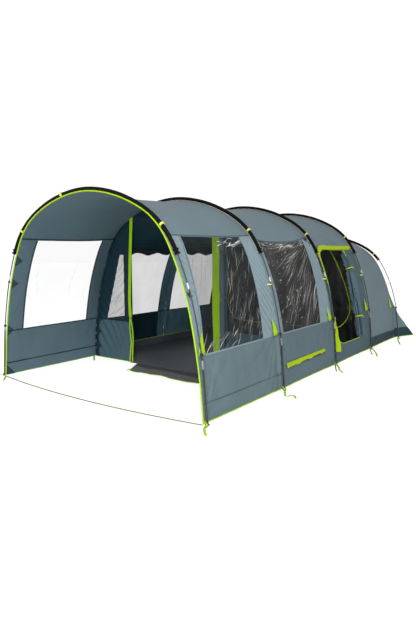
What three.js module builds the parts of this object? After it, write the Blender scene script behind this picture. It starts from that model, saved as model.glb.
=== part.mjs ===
// A family tunnel tent: five sleeved hoops on steel legs, a flysheet of sewn panels,
// an open porch, a living room with windows and a side door, and a bedroom at the rear.
// Millimetres. +Z is up, the porch faces -Y, and the side door is on the +X side.
import * as THREE from 'three';

// ---- Driving dimensions -------------------------------------------------------------
const ARCH_OFFSETS = [0, 1400, 2850, 4250, 5500]; // each hoop's distance behind the first
const ARCH_HEIGHTS = [0.988, 1, 1, 0.995, 0.85]; // each hoop's height as a share of the tallest
const ARCH_WIDTHS = [1, 1, 1, 1, 1.035]; // each hoop's width as a share of the first
const REAR_CORNER = 6010; // rear hem corners, behind the first hoop
const REAR_MIDDLE = 6350; // rear hem at its middle
const REAR_HALF_WIDTH = 1690;
const REAR_FOLD_Z = 560; // height on the last hoop where the side panel turns to the rear
const REAR_SIDE_START = 40; // length of the side hem where it leaves the last hoop

// Half of a hoop's centre line, from the near foot to the crown, as [x, z].
const HALF_HOOP = [[1515, 0], [1478, 470], [1330, 1140], [1055, 1690], [590, 1990], [0, 2105]];

const HOOP_RADIUS = 6;
const LEG_RADIUS = 9;
const LEG_TOP = 480; // top of the black steel tube
const FERRULE_TOP = 550; // top of the bright ferrule over the joint
const FERRULE_RADIUS = 10.5;
const FOOT_RADIUS = 22;
const FOOT_HEIGHT = 6;
const SLEEVE_RADIUS = 16;
const SLEEVE_BORE = 8;
const HOOP_STEPS = 30;
const SLEEVE_START = 6; // each sleeve begins and ends this many steps in from the hoop's ends

const FABRIC_INSET = 24; // from a hoop's centre line to the fabric's outer face
const FABRIC = 5; // thickness given to every fabric panel
const PANE = 2; // thickness given to every clear window
const SEAM = 2; // half of the gap between neighbouring panels
const REAR_GAP = 8; // from the last hoop's plane to the rear panel, whose edge is slanted
const SAG_CROWN = 46; // how far the roof dips between two hoops
const SAG_WALL = 10;

const SKIRT_TOP = 190;
const SILL_Z = 590; // bottom of the windows
const EAVE_Z = 1660; // where roof and wall meet
const WINDOW_HEAD = 1640;
const FAR_SILL_Z = 540;
const CURTAIN_Z = 1530; // axis of the rolled curtains over the far windows

const VENT = { y0: 1520, y1: 2540, z0: 205, z1: 262 };
const SIDE_DOOR = { y0: 2950, y1: 3870, z0: 240, z1: 1540 };
const FRONT_DOOR = { x0: -740, x1: 575, top: 1890, corner: 160 };
// The windows beside the front door: by side, how far out from the middle line
const FRONT_WINDOWS = {
  near: { side: 1, inner: 765, outerTop: 1000, outerFoot: 1330, sill: 560, head: 1520 },
  far: { side: -1, inner: 860, outerTop: 960, outerFoot: 1225, sill: 560, head: 1430 },
};

const SIDE_ROLL = { y: 3800, radius: 55, z0: 272, z1: 1465 };
const FRONT_ROLL = { x: 722, radius: 32, z0: 300, z1: 1670 };
const CURTAIN_RADIUS = 26;
const GUTTER = { y0: 2950, y1: 4170, z: 1535, bend: 310, drop: 160, bendShare: 0.3, width: 66, stand: 12 };
const HOOD = { y0: 1510, y1: 2550, top: 270, height: 62, stand: 6, tilt: 0.25 };
// Each corner of the flap as [x, distance behind the first hoop], with its hinge line first.
const SILL_FLAP = [[560, 1386], [-640, 1386], [-430, 1020], [650, 1000]];
const FLOOR = { y0: 1412, y1: 5790, halfWidth: 1440, edgeX: 1462, edgeZ: 110, edgeShare: 0.05 };
const FLOOR_THICKNESS = 4;
const CORD = { width: 16, thickness: 4, endX: 1484, endY: -28, bow: 112 };

// Zip sliders. The two curved zips are arcs about an axis along Y, given as centre [x, z].
const SLIDER = {
  width: 10, thickness: 6, length: 40, stand: 1, bodyShare: 0.3, neckShare: 0.38, neckEnd: 0.5, pullShare: 0.6,
};
const FRONT_ZIPS = { near: 604, far: -768, z: 150 };
const SIDE_ZIP = { y: 2936, z0: 330, z1: 1300 };
const BEDROOM_ZIP = { centre: [-1230, 180], radius: 2415, z: 640 };

const INNER_GAP = 62; // from the flysheet's outer face to the bedroom's
const INNER_FRONT = ARCH_OFFSETS[3] + 34;
const INNER_REAR_TOP = ARCH_OFFSETS[4] - 90;
const INNER_REAR_FOOT = ARCH_OFFSETS[4] + 330;
const INNER_TUNNEL_SHARE = 0.7; // of the bedroom's length, before its rear end starts to slope
const INNER_REAR_DROP = 0.97; // share of its height that the rear end loses
const INNER_REAR_NARROWING = 0.06; // share of its width that the rear end loses
const OUTLINE_STEPS = 28; // round the plates that close the tunnel

const FRONT = -(REAR_MIDDLE - FOOT_RADIUS) / 2; // Y of the first hoop, which centres the box
const ARCH_Y = ARCH_OFFSETS.map((offset) => FRONT + offset);

// ---- Materials ----------------------------------------------------------------------
function material(colour, roughness, metalness = 0) {
  return new THREE.MeshStandardMaterial({ color: colour, roughness, metalness });
}
const FLYSHEET = material(0x6f8188, 0.75);
const WALL = material(0x66777e, 0.75);
const LIME = material(0xa6cc1e, 0.7);
const BLACK_FABRIC = material(0x15171a, 0.8);
const INNER_FABRIC = material(0x1d2226, 0.85);
const GROUNDSHEET = material(0x38373c, 0.6);
const SILL_GREY = material(0x6b6a6e, 0.7);
const FIBREGLASS = material(0x2b2e31, 0.35);
const STEEL = material(0x1a1c1e, 0.35, 0.6);
const METAL = material(0xb9bcc0, 0.3, 1);
const CLEAR = new THREE.MeshStandardMaterial({
  color: 0xe6ecee, roughness: 0.15, transparent: true, opacity: 0.35,
});

const tent = new THREE.Group();

function add(name, geometry, look) {
  const mesh = new THREE.Mesh(geometry, look);
  mesh.name = name;
  tent.add(mesh);
  return mesh;
}

// ---- Curves and surfaces ------------------------------------------------------------
const HOOP_POINTS = [
  ...HALF_HOOP,
  ...HALF_HOOP.slice(0, -1).reverse().map(([x, z]) => [-x, z]),
].map(([x, z]) => new THREE.Vector3(x, 0, z));
const HOOP_CURVE = new THREE.CatmullRomCurve3(HOOP_POINTS, false, 'catmullrom', 0.5);

// A point on the tallest hoop's centre line: s runs from 0, the near foot, to 1, the far foot.
function hoopPoint(s, height = 1, width = 1) {
  const p = HOOP_CURVE.getPoint(s);
  return new THREE.Vector3(p.x * width, 0, p.z * height);
}

// The place on the near half of the hoop, as s, that is at height z on the tallest hoop.
function hoopAt(z) {
  let low = 0;
  let high = 0.5;
  for (let step = 0; step < 40; step += 1) {
    const middle = (low + high) / 2;
    if (HOOP_CURVE.getPoint(middle).z < z) low = middle;
    else high = middle;
  }
  return (low + high) / 2;
}

// The unit normal that points into the tent, in the hoop's own plane.
function inwardNormal(s, height = 1) {
  const step = 1e-3;
  const a = hoopPoint(Math.max(0, s - step), height);
  const b = hoopPoint(Math.min(1, s + step), height);
  const tangent = b.sub(a).normalize();
  return new THREE.Vector3(-tangent.z, 0, tangent.x);
}

// The share of full height that the tunnel has at a distance y behind the first hoop,
// and how far that place is between its two hoops, from 0 to 1 and back to 0.
function section(offset) {
  const last = ARCH_OFFSETS.length - 2;
  let i = 0;
  while (i < last && offset > ARCH_OFFSETS[i + 1]) i += 1;
  const v = (offset - ARCH_OFFSETS[i]) / (ARCH_OFFSETS[i + 1] - ARCH_OFFSETS[i]);
  const height = ARCH_HEIGHTS[i] + (ARCH_HEIGHTS[i + 1] - ARCH_HEIGHTS[i]) * v;
  return { height, belly: 4 * v * (1 - v) };
}

// The flysheet's outer face, moved inwards by depth.
function tunnelPoint(s, offset, depth = 0) {
  const { height, belly } = section(offset);
  const sag = SAG_WALL + (SAG_CROWN - SAG_WALL) * Math.sin(Math.PI * s) ** 2;
  const p = hoopPoint(s, height);
  p.addScaledVector(inwardNormal(s, height), FABRIC_INSET + sag * belly + depth);
  return new THREE.Vector3(p.x, FRONT + offset, Math.max(0, p.z));
}

// The rear panel: straight lines from the last hoop down to the hem.
const REAR_FOLD_S = hoopAt(REAR_FOLD_Z / ARCH_HEIGHTS[4]);
function rearPoint(s, w) {
  const last = ARCH_OFFSETS[4];
  const top = tunnelPoint(s, last);
  top.y += REAR_GAP;
  const side = s < 0.5 ? 1 : -1;
  const fromFoot = Math.min(s, 1 - s);
  const foot = new THREE.Vector3();
  if (fromFoot < REAR_FOLD_S) {
    const along = fromFoot / REAR_FOLD_S;
    const footX = Math.abs(tunnelPoint(0, last).x);
    foot.x = side * (footX + (REAR_HALF_WIDTH - footX) * along);
    foot.y = last + REAR_SIDE_START + (REAR_CORNER - last - REAR_SIDE_START) * along;
  } else {
    const across = 1 - (2 * (fromFoot - REAR_FOLD_S)) / (1 - 2 * REAR_FOLD_S);
    foot.x = side * REAR_HALF_WIDTH * across;
    foot.y = REAR_CORNER + (REAR_MIDDLE - REAR_CORNER) * (1 - across * across);
  }
  foot.y += FRONT;
  return top.lerp(foot, w);
}

// The bedroom's outer face: a smaller tunnel whose rear end slopes to the ground.
function innerPoint(s, v) {
  const p = tunnelPoint(s, INNER_FRONT + (INNER_REAR_TOP - INNER_FRONT) * Math.min(1, v / INNER_TUNNEL_SHARE));
  const q = p.clone();
  const { height } = section(INNER_REAR_TOP);
  q.addScaledVector(inwardNormal(s, height), INNER_GAP);
  q.z = Math.max(FABRIC * 2, q.z);
  const slope = Math.max(0, v - INNER_TUNNEL_SHARE) / (1 - INNER_TUNNEL_SHARE);
  q.y += (INNER_REAR_FOOT - INNER_REAR_TOP) * slope;
  q.z = FABRIC * 2 + (q.z - FABRIC * 2) * (1 - slope * INNER_REAR_DROP);
  q.x *= 1 - slope * INNER_REAR_NARROWING;
  return q;
}

// ---- Solids -------------------------------------------------------------------------
// A sheet of even thickness over the points surface(s, v), for every s in rows and v in
// columns. hole(row, column) is true for each cell of the grid that is left open.
function thickSheet(surface, rows, columns, thickness, hole = () => false) {
  const positions = [];
  const indices = [];
  const layers = [[], []];
  const step = 1e-3;
  for (const s of rows) {
    for (const v of columns) {
      const span = (columns[columns.length - 1] - columns[0]) * step;
      const p = surface(s, v);
      const ds = surface(Math.min(1, s + step), v).sub(surface(Math.max(0, s - step), v));
      const dv = surface(s, Math.min(columns[columns.length - 1], v + span))
        .sub(surface(s, Math.max(columns[0], v - span)));
      const normal = ds.cross(dv).normalize();
      layers[0].push(positions.length / 3);
      positions.push(p.x, p.y, p.z);
      p.addScaledVector(normal, thickness);
      layers[1].push(positions.length / 3);
      positions.push(p.x, p.y, Math.max(0, p.z));
    }
  }
  const width = columns.length;
  const solid = (i, j) => i >= 0 && j >= 0 && i < rows.length - 1 && j < width - 1 && !hole(i, j);
  const quad = (a, b, c, d) => indices.push(a, b, c, a, c, d);
  const at = (layer, i, j) => layers[layer][i * width + j];
  for (let i = 0; i < rows.length - 1; i += 1) {
    for (let j = 0; j < width - 1; j += 1) {
      if (!solid(i, j)) continue;
      quad(at(0, i, j), at(0, i, j + 1), at(0, i + 1, j + 1), at(0, i + 1, j));
      quad(at(1, i, j), at(1, i + 1, j), at(1, i + 1, j + 1), at(1, i, j + 1));
      if (!solid(i - 1, j)) quad(at(0, i, j), at(1, i, j), at(1, i, j + 1), at(0, i, j + 1));
      if (!solid(i + 1, j)) quad(at(0, i + 1, j), at(0, i + 1, j + 1), at(1, i + 1, j + 1), at(1, i + 1, j));
      if (!solid(i, j - 1)) quad(at(0, i, j), at(0, i + 1, j), at(1, i + 1, j), at(1, i, j));
      if (!solid(i, j + 1)) quad(at(0, i, j + 1), at(1, i, j + 1), at(1, i + 1, j + 1), at(0, i + 1, j + 1));
    }
  }
  const geometry = new THREE.BufferGeometry();
  geometry.setAttribute('position', new THREE.Float32BufferAttribute(positions, 3));
  geometry.setIndex(dropUnused(geometry, indices));
  faceOut(geometry);
  geometry.computeVertexNormals();
  return geometry;
}

// Removes the vertices that no triangle uses, such as those inside a hole.
function dropUnused(geometry, indices) {
  const source = geometry.getAttribute('position');
  const kept = new Map();
  const positions = [];
  const renumbered = indices.map((index) => {
    if (!kept.has(index)) {
      kept.set(index, positions.length / 3);
      positions.push(source.getX(index), source.getY(index), source.getZ(index));
    }
    return kept.get(index);
  });
  geometry.setAttribute('position', new THREE.Float32BufferAttribute(positions, 3));
  return renumbered;
}

// Turns every triangle over if the solid's faces point inwards.
function faceOut(geometry) {
  const position = geometry.getAttribute('position');
  const index = geometry.getIndex();
  const corner = (k) => new THREE.Vector3().fromBufferAttribute(position, index.getX(k));
  let volume = 0;
  for (let k = 0; k < index.count; k += 3) {
    volume += corner(k).dot(corner(k + 1).cross(corner(k + 2)));
  }
  if (volume > 0) return;
  for (let k = 0; k < index.count; k += 3) {
    const first = index.getX(k);
    index.setX(k, index.getX(k + 1));
    index.setX(k + 1, first);
  }
}

function polygonShape(points) {
  return new THREE.Shape(points.map(([x, y]) => new THREE.Vector2(x, y)));
}

function ringOutline(radius, sides) {
  const points = [];
  for (let k = 0; k < sides; k += 1) {
    const angle = (2 * Math.PI * (k + 0.5)) / sides;
    points.push(new THREE.Vector2(radius * Math.cos(angle), radius * Math.sin(angle)));
  }
  return points;
}

// A bar or pipe of round section along a curve. bore leaves an open hollow.
function tubeAlong(curve, radius, sides, steps, bore = 0) {
  const shape = new THREE.Shape(ringOutline(radius, sides));
  if (bore > 0) shape.holes.push(new THREE.Path(ringOutline(bore, sides)));
  return new THREE.ExtrudeGeometry(shape, { steps, extrudePath: curve, curveSegments: 1 });
}

// A plate with its outline in the XZ plane, which runs back from y by its thickness.
function uprightPlate(shape, y, thickness) {
  const geometry = new THREE.ExtrudeGeometry(shape, { depth: thickness, bevelEnabled: false });
  geometry.rotateX(Math.PI / 2);
  geometry.translate(0, y + thickness, 0);
  return geometry;
}

function evenly(from, to, count) {
  return Array.from({ length: count + 1 }, (unused, k) => from + ((to - from) * k) / count);
}

// ---- Hoops, legs and sleeves --------------------------------------------------------
class HoopCurve extends THREE.Curve {
  constructor(arch) {
    super();
    this.arch = arch;
    this.start = hoopAt((FERRULE_TOP + 2) / ARCH_HEIGHTS[arch]);
    this.arcLengthDivisions = 800;
  }

  getPoint(t, target = new THREE.Vector3()) {
    const s = this.start + (1 - 2 * this.start) * t;
    const p = hoopPoint(s, ARCH_HEIGHTS[this.arch], ARCH_WIDTHS[this.arch]);
    return target.set(p.x, ARCH_Y[this.arch], p.z);
  }
}

// The middle stretch of a hoop, by length, that its sleeve covers.
class SleeveCurve extends THREE.Curve {
  constructor(hoop) {
    super();
    this.hoop = hoop;
  }

  getPoint(t, target = new THREE.Vector3()) {
    const end = SLEEVE_START / HOOP_STEPS;
    return this.hoop.getPointAt(end + (1 - 2 * end) * t, target);
  }
}

function legGeometry(arch, side) {
  const profile = [
    [0, 0], [FOOT_RADIUS, 0], [FOOT_RADIUS, FOOT_HEIGHT], [LEG_RADIUS, FOOT_HEIGHT + 4],
    [LEG_RADIUS, LEG_TOP], [FERRULE_RADIUS, LEG_TOP], [FERRULE_RADIUS, FERRULE_TOP], [0, FERRULE_TOP],
  ].map(([r, z]) => new THREE.Vector2(r, z));
  const geometry = new THREE.LatheGeometry(profile, 12);
  geometry.rotateX(Math.PI / 2);
  const height = ARCH_HEIGHTS[arch];
  const width = ARCH_WIDTHS[arch];
  const top = hoopPoint(hoopAt(FERRULE_TOP / height), height, width);
  const foot = hoopPoint(0, height, width);
  const position = geometry.getAttribute('position');
  const lean = (top.x - foot.x) / top.z;
  for (let k = 0; k < position.count; k += 1) {
    const z = position.getZ(k);
    position.setX(k, side * (foot.x + position.getX(k) + lean * z));
    position.setY(k, position.getY(k) + ARCH_Y[arch]);
  }
  if (side < 0) {
    const index = geometry.getIndex();
    for (let k = 0; k < index.count; k += 3) {
      const first = index.getX(k);
      index.setX(k, index.getX(k + 1));
      index.setX(k + 1, first);
    }
  }
  return geometry;
}

ARCH_Y.forEach((unused, arch) => {
  const number = arch + 1;
  const hoop = new HoopCurve(arch);
  add(`hoop_${number}`, tubeAlong(hoop, HOOP_RADIUS, 8, HOOP_STEPS), FIBREGLASS);
  const sleeve = new SleeveCurve(hoop);
  const sleeveSteps = HOOP_STEPS - 2 * SLEEVE_START;
  add(`sleeve_${number}`, tubeAlong(sleeve, SLEEVE_RADIUS, 8, sleeveSteps, SLEEVE_BORE), BLACK_FABRIC);
  add(`near_leg_${number}`, legGeometry(arch, 1), STEEL);
  add(`far_leg_${number}`, legGeometry(arch, -1), STEEL);
});

// ---- Flysheet -----------------------------------------------------------------------
const LETTERS = ['a', 'b', 'c', 'd'];

// The grid lines along Y of each section: its two ends, with the edges of its openings.
const NEAR_COLUMNS = [
  [155, 400, 650, 895, 1140],
  [1520, 1865, 2200, 2540, 2680],
  [SIDE_DOOR.y0, 3180, 3410, 3640, SIDE_DOOR.y1, 4100],
  [4560, 4870, 5190],
];
const FAR_COLUMNS = [[195, 445, 695, 945, 1200], ...NEAR_COLUMNS.slice(1)];

function sectionColumns(lines, i) {
  return [ARCH_OFFSETS[i] + SEAM, ...lines[i], ARCH_OFFSETS[i + 1] - SEAM];
}

const EAVE_S = hoopAt(EAVE_Z);
const EAVE_GAP = 0.0015; // as a share of the hoop

function nearRows(heights) {
  return [...heights.map((z) => (z === 0 ? 0 : hoopAt(z))), EAVE_S - EAVE_GAP];
}

function mirrored(rows) {
  return rows.map((s) => 1 - s).reverse();
}

// Whether a grid cell lies inside a rectangle given in heights and distances.
function insideOf(rows, columns, opening, far = false) {
  return (i, j) => {
    const from = far ? 1 - rows[i + 1] : rows[i];
    const to = far ? 1 - rows[i] : rows[i + 1];
    const slack = 1e-6;
    return from >= hoopAt(opening.z0) - slack && to <= hoopAt(opening.z1) + slack
      && columns[j] >= opening.y0 - slack && columns[j + 1] <= opening.y1 + slack;
  };
}

function paneIn(opening, far, steps) {
  const low = hoopAt(opening.z0);
  const high = hoopAt(opening.z1);
  const margin = EAVE_GAP;
  const heights = evenly(low + margin, high - margin, 5);
  const rows = far ? mirrored(heights) : heights;
  const columns = evenly(opening.y0 + SEAM, opening.y1 - SEAM, steps);
  const middle = (FABRIC - PANE) / 2;
  return thickSheet((s, v) => tunnelPoint(s, v, middle), rows, columns, PANE);
}

const NEAR_WINDOWS = [
  { y0: 155, y1: 1140, z0: SILL_Z, z1: WINDOW_HEAD },
  { y0: 1520, y1: 2540, z0: SILL_Z, z1: WINDOW_HEAD },
];
const FAR_WINDOWS = [
  { y0: 195, y1: 1200, z0: FAR_SILL_Z, z1: WINDOW_HEAD },
  { y0: 1520, y1: 2680, z0: FAR_SILL_Z, z1: CURTAIN_Z },
  { y0: SIDE_DOOR.y0, y1: 4100, z0: FAR_SILL_Z, z1: CURTAIN_Z },
];

LETTERS.forEach((letter, i) => {
  const columns = sectionColumns(NEAR_COLUMNS, i);
  const roofRows = evenly(EAVE_S + EAVE_GAP, 1 - EAVE_S - EAVE_GAP, 12);
  add(`roof_${letter}`, thickSheet(tunnelPoint, roofRows, columns, FABRIC), FLYSHEET);

  const nearHeights = [
    [0, SKIRT_TOP, SILL_Z, 860, 1120, 1380, WINDOW_HEAD],
    [0, VENT.z0, VENT.z1, SILL_Z, 860, 1120, 1380, WINDOW_HEAD],
    [0, SIDE_DOOR.z0, 560, 870, 1190, SIDE_DOOR.z1],
    [0, SKIRT_TOP, 480, 770, 1060, 1350],
  ][i];
  const near = nearRows(nearHeights);
  const nearHoles = [NEAR_WINDOWS[i], [null, VENT, SIDE_DOOR, null][i]]
    .filter(Boolean)
    .map((opening) => insideOf(near, columns, opening));
  const nearHole = (r, c) => nearHoles.some((inside) => inside(r, c));
  add(`near_wall_${letter}`, thickSheet(tunnelPoint, near, columns, FABRIC, nearHole), WALL);

  const farColumns = sectionColumns(FAR_COLUMNS, i);
  const farHead = i === 0 ? WINDOW_HEAD : CURTAIN_Z;
  const far = mirrored(nearRows([0, SKIRT_TOP, FAR_SILL_Z, 770, 1030, 1280, farHead]));
  const farHole = FAR_WINDOWS[i] ? insideOf(far, farColumns, FAR_WINDOWS[i], true) : undefined;
  add(`far_wall_${letter}`, thickSheet(tunnelPoint, far, farColumns, FABRIC, farHole), WALL);
});

NEAR_WINDOWS.forEach((opening, i) => add(`near_window_${LETTERS[i]}`, paneIn(opening, false, 4), CLEAR));
FAR_WINDOWS.forEach((opening, i) => add(`far_window_${LETTERS[i]}`, paneIn(opening, true, 4), CLEAR));

const REAR_ROWS = [
  ...evenly(0, REAR_FOLD_S, 4),
  ...evenly(REAR_FOLD_S, 1 - REAR_FOLD_S, 16).slice(1),
  ...evenly(1 - REAR_FOLD_S, 1, 4).slice(1),
];
add('rear_slope', thickSheet(rearPoint, REAR_ROWS, evenly(0, 1, 5), FABRIC), FLYSHEET);

// ---- Front wall, between the porch and the living room ------------------------------
const WALL_INSET = FABRIC + 17;

// The inside outline of the tunnel at a distance behind the first hoop, as [x, z] points
// from the near foot to the far foot.
function tunnelOutline(offset, depth, floor) {
  return evenly(0, 1, OUTLINE_STEPS).map((s) => {
    const p = tunnelPoint(s, offset, depth);
    return [p.x, Math.max(floor, p.z)];
  });
}

function frontWallShape() {
  const { x0, x1, top, corner } = FRONT_DOOR;
  const outline = tunnelOutline(ARCH_OFFSETS[1], WALL_INSET, 1);
  const door = [
    [x0, 1], [x0, top - corner], [x0 + corner, top], [x1 - corner, top], [x1, top - corner], [x1, 1],
  ];
  const shape = polygonShape([...outline, ...door]);
  Object.values(FRONT_WINDOWS).forEach((opening) => shape.holes.push(polygonShape(frontWindow(opening, 0))));
  return shape;
}

// The outline of a window beside the front door, drawn in by margin on every side.
function frontWindow({ side, inner, outerTop, outerFoot, sill, head }, margin) {
  return [
    [side * (inner + margin), sill + margin],
    [side * (outerFoot - margin * 1.5), sill + margin],
    [side * (outerTop - margin * 0.6), head - margin],
    [side * (inner + margin), head - margin],
  ];
}

const WALL_Y = ARCH_Y[1] - FABRIC / 2;
add('front_wall', uprightPlate(frontWallShape(), WALL_Y, FABRIC), WALL);
Object.entries(FRONT_WINDOWS).forEach(([name, opening]) => {
  const pane = polygonShape(frontWindow(opening, 2));
  add(`front_window_${name}`, uprightPlate(pane, ARCH_Y[1] - PANE / 2, PANE), CLEAR);
});

// ---- Ground pieces ------------------------------------------------------------------
function floorPoint(s, v) {
  const { halfWidth, edgeX, edgeZ, edgeShare } = FLOOR;
  const fromEdge = Math.min(s, 1 - s);
  const side = s < 0.5 ? -1 : 1;
  if (fromEdge < edgeShare) {
    const up = 1 - fromEdge / edgeShare;
    return new THREE.Vector3(side * (halfWidth + (edgeX - halfWidth) * up), FRONT + v, edgeZ * up);
  }
  const across = (2 * (s - edgeShare)) / (1 - 2 * edgeShare) - 1;
  return new THREE.Vector3(halfWidth * across, FRONT + v, 0);
}

const floorRows = [0, ...evenly(FLOOR.edgeShare, 1 - FLOOR.edgeShare, 4), 1];
const floorColumns = evenly(FLOOR.y0, FLOOR.y1, 4);
add('groundsheet', thickSheet(floorPoint, floorRows, floorColumns, FLOOR_THICKNESS), GROUNDSHEET);

const flapShape = polygonShape(SILL_FLAP.map(([x, offset]) => [x, FRONT + offset]));
add('door_sill_flap', new THREE.ExtrudeGeometry(flapShape, {
  depth: FLOOR_THICKNESS, bevelEnabled: false,
}), SILL_GREY);

// The strap that lies on the ground between the first hoop's feet and keeps them apart.
const cordPoints = evenly(1, -1, 24).map((across) => new THREE.Vector3(
  CORD.endX * across,
  FRONT + CORD.endY - CORD.bow * (1 - across * across),
  CORD.thickness / 2,
));
const cordCurve = new THREE.CatmullRomCurve3(cordPoints, false, 'catmullrom', 0.5);
const cordOutline = ringOutline(0.5, 8)
  .map((p) => new THREE.Vector2(p.x * CORD.thickness, p.y * CORD.width));
const cordGeometry = new THREE.ExtrudeGeometry(new THREE.Shape(cordOutline), {
  steps: 48, extrudePath: cordCurve, curveSegments: 1,
});
add('front_ground_strap', cordGeometry, LIME);

// ---- Bedroom ------------------------------------------------------------------------
const innerRows = evenly(0, 1, 16);
const innerColumns = [0, 0.35, 0.7, 0.85, 1];
add('bedroom_body', thickSheet(innerPoint, innerRows, innerColumns, FABRIC), INNER_FABRIC);
const innerFloor = FLOOR_THICKNESS + 6;
const partition = tunnelOutline(INNER_FRONT, INNER_GAP, innerFloor);
const PARTITION_Y = FRONT + INNER_FRONT - FABRIC - 3;
add('bedroom_front', uprightPlate(polygonShape(partition), PARTITION_Y, FABRIC), INNER_FABRIC);

// ---- Rolled doors and curtains ------------------------------------------------------
class SurfaceCurve extends THREE.Curve {
  constructor(pointAt) {
    super();
    this.pointAt = pointAt;
  }

  getPoint(t, target = new THREE.Vector3()) {
    return target.copy(this.pointAt(t));
  }
}

const sideRoll = new SurfaceCurve((t) => {
  const s = hoopAt(SIDE_ROLL.z0) + (hoopAt(SIDE_ROLL.z1) - hoopAt(SIDE_ROLL.z0)) * t;
  return tunnelPoint(s, SIDE_ROLL.y);
});
add('side_door_roll', tubeAlong(sideRoll, SIDE_ROLL.radius, 8, 10), FLYSHEET);

const frontRollY = WALL_Y - FRONT_ROLL.radius - 3;
const frontRoll = new THREE.LineCurve3(
  new THREE.Vector3(FRONT_ROLL.x, frontRollY, FRONT_ROLL.z0),
  new THREE.Vector3(FRONT_ROLL.x, frontRollY, FRONT_ROLL.z1),
);
add('front_door_roll', tubeAlong(frontRoll, FRONT_ROLL.radius, 8, 2), WALL);

FAR_WINDOWS.slice(1).forEach((opening, i) => {
  const depth = FABRIC + CURTAIN_RADIUS + 5;
  const curve = new SurfaceCurve((t) => {
    const along = opening.y0 - 20 + (opening.y1 - opening.y0 + 40) * t;
    return tunnelPoint(1 - hoopAt(CURTAIN_Z), along, depth);
  });
  add(`curtain_roll_${LETTERS[i + 1]}`, tubeAlong(curve, CURTAIN_RADIUS, 8, 6), INNER_FABRIC);
});

// ---- Side door gutter ---------------------------------------------------------------
function gutterPoint(across, along) {
  const { y0, y1, z, bend, drop, bendShare, width, stand } = GUTTER;
  let y;
  let height;
  let normal;
  if (along < bendShare) {
    const angle = (Math.PI / 2) * (along / bendShare);
    y = y0 + bend * (1 - Math.cos(angle));
    height = z - drop * (1 - Math.sin(angle));
    normal = new THREE.Vector2(-Math.cos(angle) / bend, Math.sin(angle) / drop).normalize();
  } else {
    y = y0 + bend + (y1 - y0 - bend) * ((along - bendShare) / (1 - bendShare));
    height = z;
    normal = new THREE.Vector2(0, 1);
  }
  const bandY = y + normal.x * width * across;
  const bandZ = height + normal.y * width * across;
  return tunnelPoint(hoopAt(bandZ), bandY, -stand);
}
const gutterSteps = [...evenly(0, GUTTER.bendShare, 5), ...evenly(GUTTER.bendShare, 1, 3).slice(1)];
add('side_door_gutter', thickSheet(gutterPoint, [0, 1], gutterSteps, FABRIC), LIME);

// ---- Ground-level vent --------------------------------------------------------------
add('vent_mesh', paneIn(VENT, false, 4), BLACK_FABRIC);

const hoodHinge = tunnelPoint(hoopAt(HOOD.top), HOOD.y0, -HOOD.stand);
const hoodShape = polygonShape([
  [0, 0], [FABRIC, 0],
  [FABRIC + HOOD.height * HOOD.tilt, -HOOD.height], [HOOD.height * HOOD.tilt, -HOOD.height],
]);
const hood = uprightPlate(hoodShape, FRONT + HOOD.y0, HOOD.y1 - HOOD.y0);
const hoodMesh = add('vent_hood', hood, LIME);
hoodMesh.position.set(hoodHinge.x, 0, hoodHinge.z);

// ---- Zip sliders --------------------------------------------------------------------
// The slider lies in its own XZ plane with its back on y = 0 and its pull hanging down.
function sliderGeometry() {
  const { length, thickness, bodyShare, neckShare, neckEnd, pullShare } = SLIDER;
  const half = SLIDER.width / 2;
  const neck = half * 0.45;
  const pull = half * 0.8;
  const side = [
    [half, 0], [half, -length * bodyShare], [neck, -length * neckShare], [neck, -length * neckEnd],
    [pull, -length * pullShare], [pull, -length],
  ];
  const shape = polygonShape([...side.map(([x, z]) => [-x, z]), ...side.reverse()]);
  const eye = ringOutline(half * 0.4, 6).map((p) => new THREE.Vector2(p.x, p.y - length * 0.8));
  shape.holes.push(new THREE.Path(eye));
  return uprightPlate(shape, -thickness, thickness);
}

function circleThrough(a, b, c) {
  const d = 2 * (a.x * (b.z - c.z) + b.x * (c.z - a.z) + c.x * (a.z - b.z));
  const square = (p) => p.x * p.x + p.z * p.z;
  const x = (square(a) * (b.z - c.z) + square(b) * (c.z - a.z) + square(c) * (a.z - b.z)) / d;
  const z = (square(a) * (c.x - b.x) + square(b) * (a.x - c.x) + square(c) * (b.x - a.x)) / d;
  return { x, z, radius: Math.hypot(a.x - x, a.z - z) };
}

['near', 'far'].forEach((name) => {
  const slider = add(`front_zip_slider_${name}`, sliderGeometry(), METAL);
  slider.position.set(FRONT_ZIPS[name], WALL_Y - SLIDER.stand, FRONT_ZIPS.z);
});

const sideHeights = [SIDE_ZIP.z0, (SIDE_ZIP.z0 + SIDE_ZIP.z1) / 2, SIDE_ZIP.z1];
const sideArc = circleThrough(
  ...sideHeights.map((z) => tunnelPoint(hoopAt(z), SIDE_ZIP.y, -SLIDER.stand)),
);
const sideStart = tunnelPoint(hoopAt(SIDE_ZIP.z0), SIDE_ZIP.y, -SLIDER.stand);
const sideLean = Math.atan2(sideStart.z - sideArc.z, sideStart.x - sideArc.x);
const sideSlider = add('side_zip_slider', sliderGeometry().rotateZ(Math.PI / 2), METAL);
sideSlider.rotation.set(0, -sideLean, 0);
sideSlider.position.copy(sideStart);

[['near', 1], ['far', -1]].forEach(([name, side]) => {
  const [centreX, centreZ] = BEDROOM_ZIP.centre;
  const rise = Math.asin((BEDROOM_ZIP.z - centreZ) / BEDROOM_ZIP.radius);
  const slider = add(`bedroom_zip_slider_${name}`, sliderGeometry(), METAL);
  slider.rotation.set(0, -side * rise, 0);
  slider.position.set(
    side * (centreX + BEDROOM_ZIP.radius * Math.cos(rise)), PARTITION_Y - SLIDER.stand, BEDROOM_ZIP.z,
  );
});

export default tent;
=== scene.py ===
import math

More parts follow.
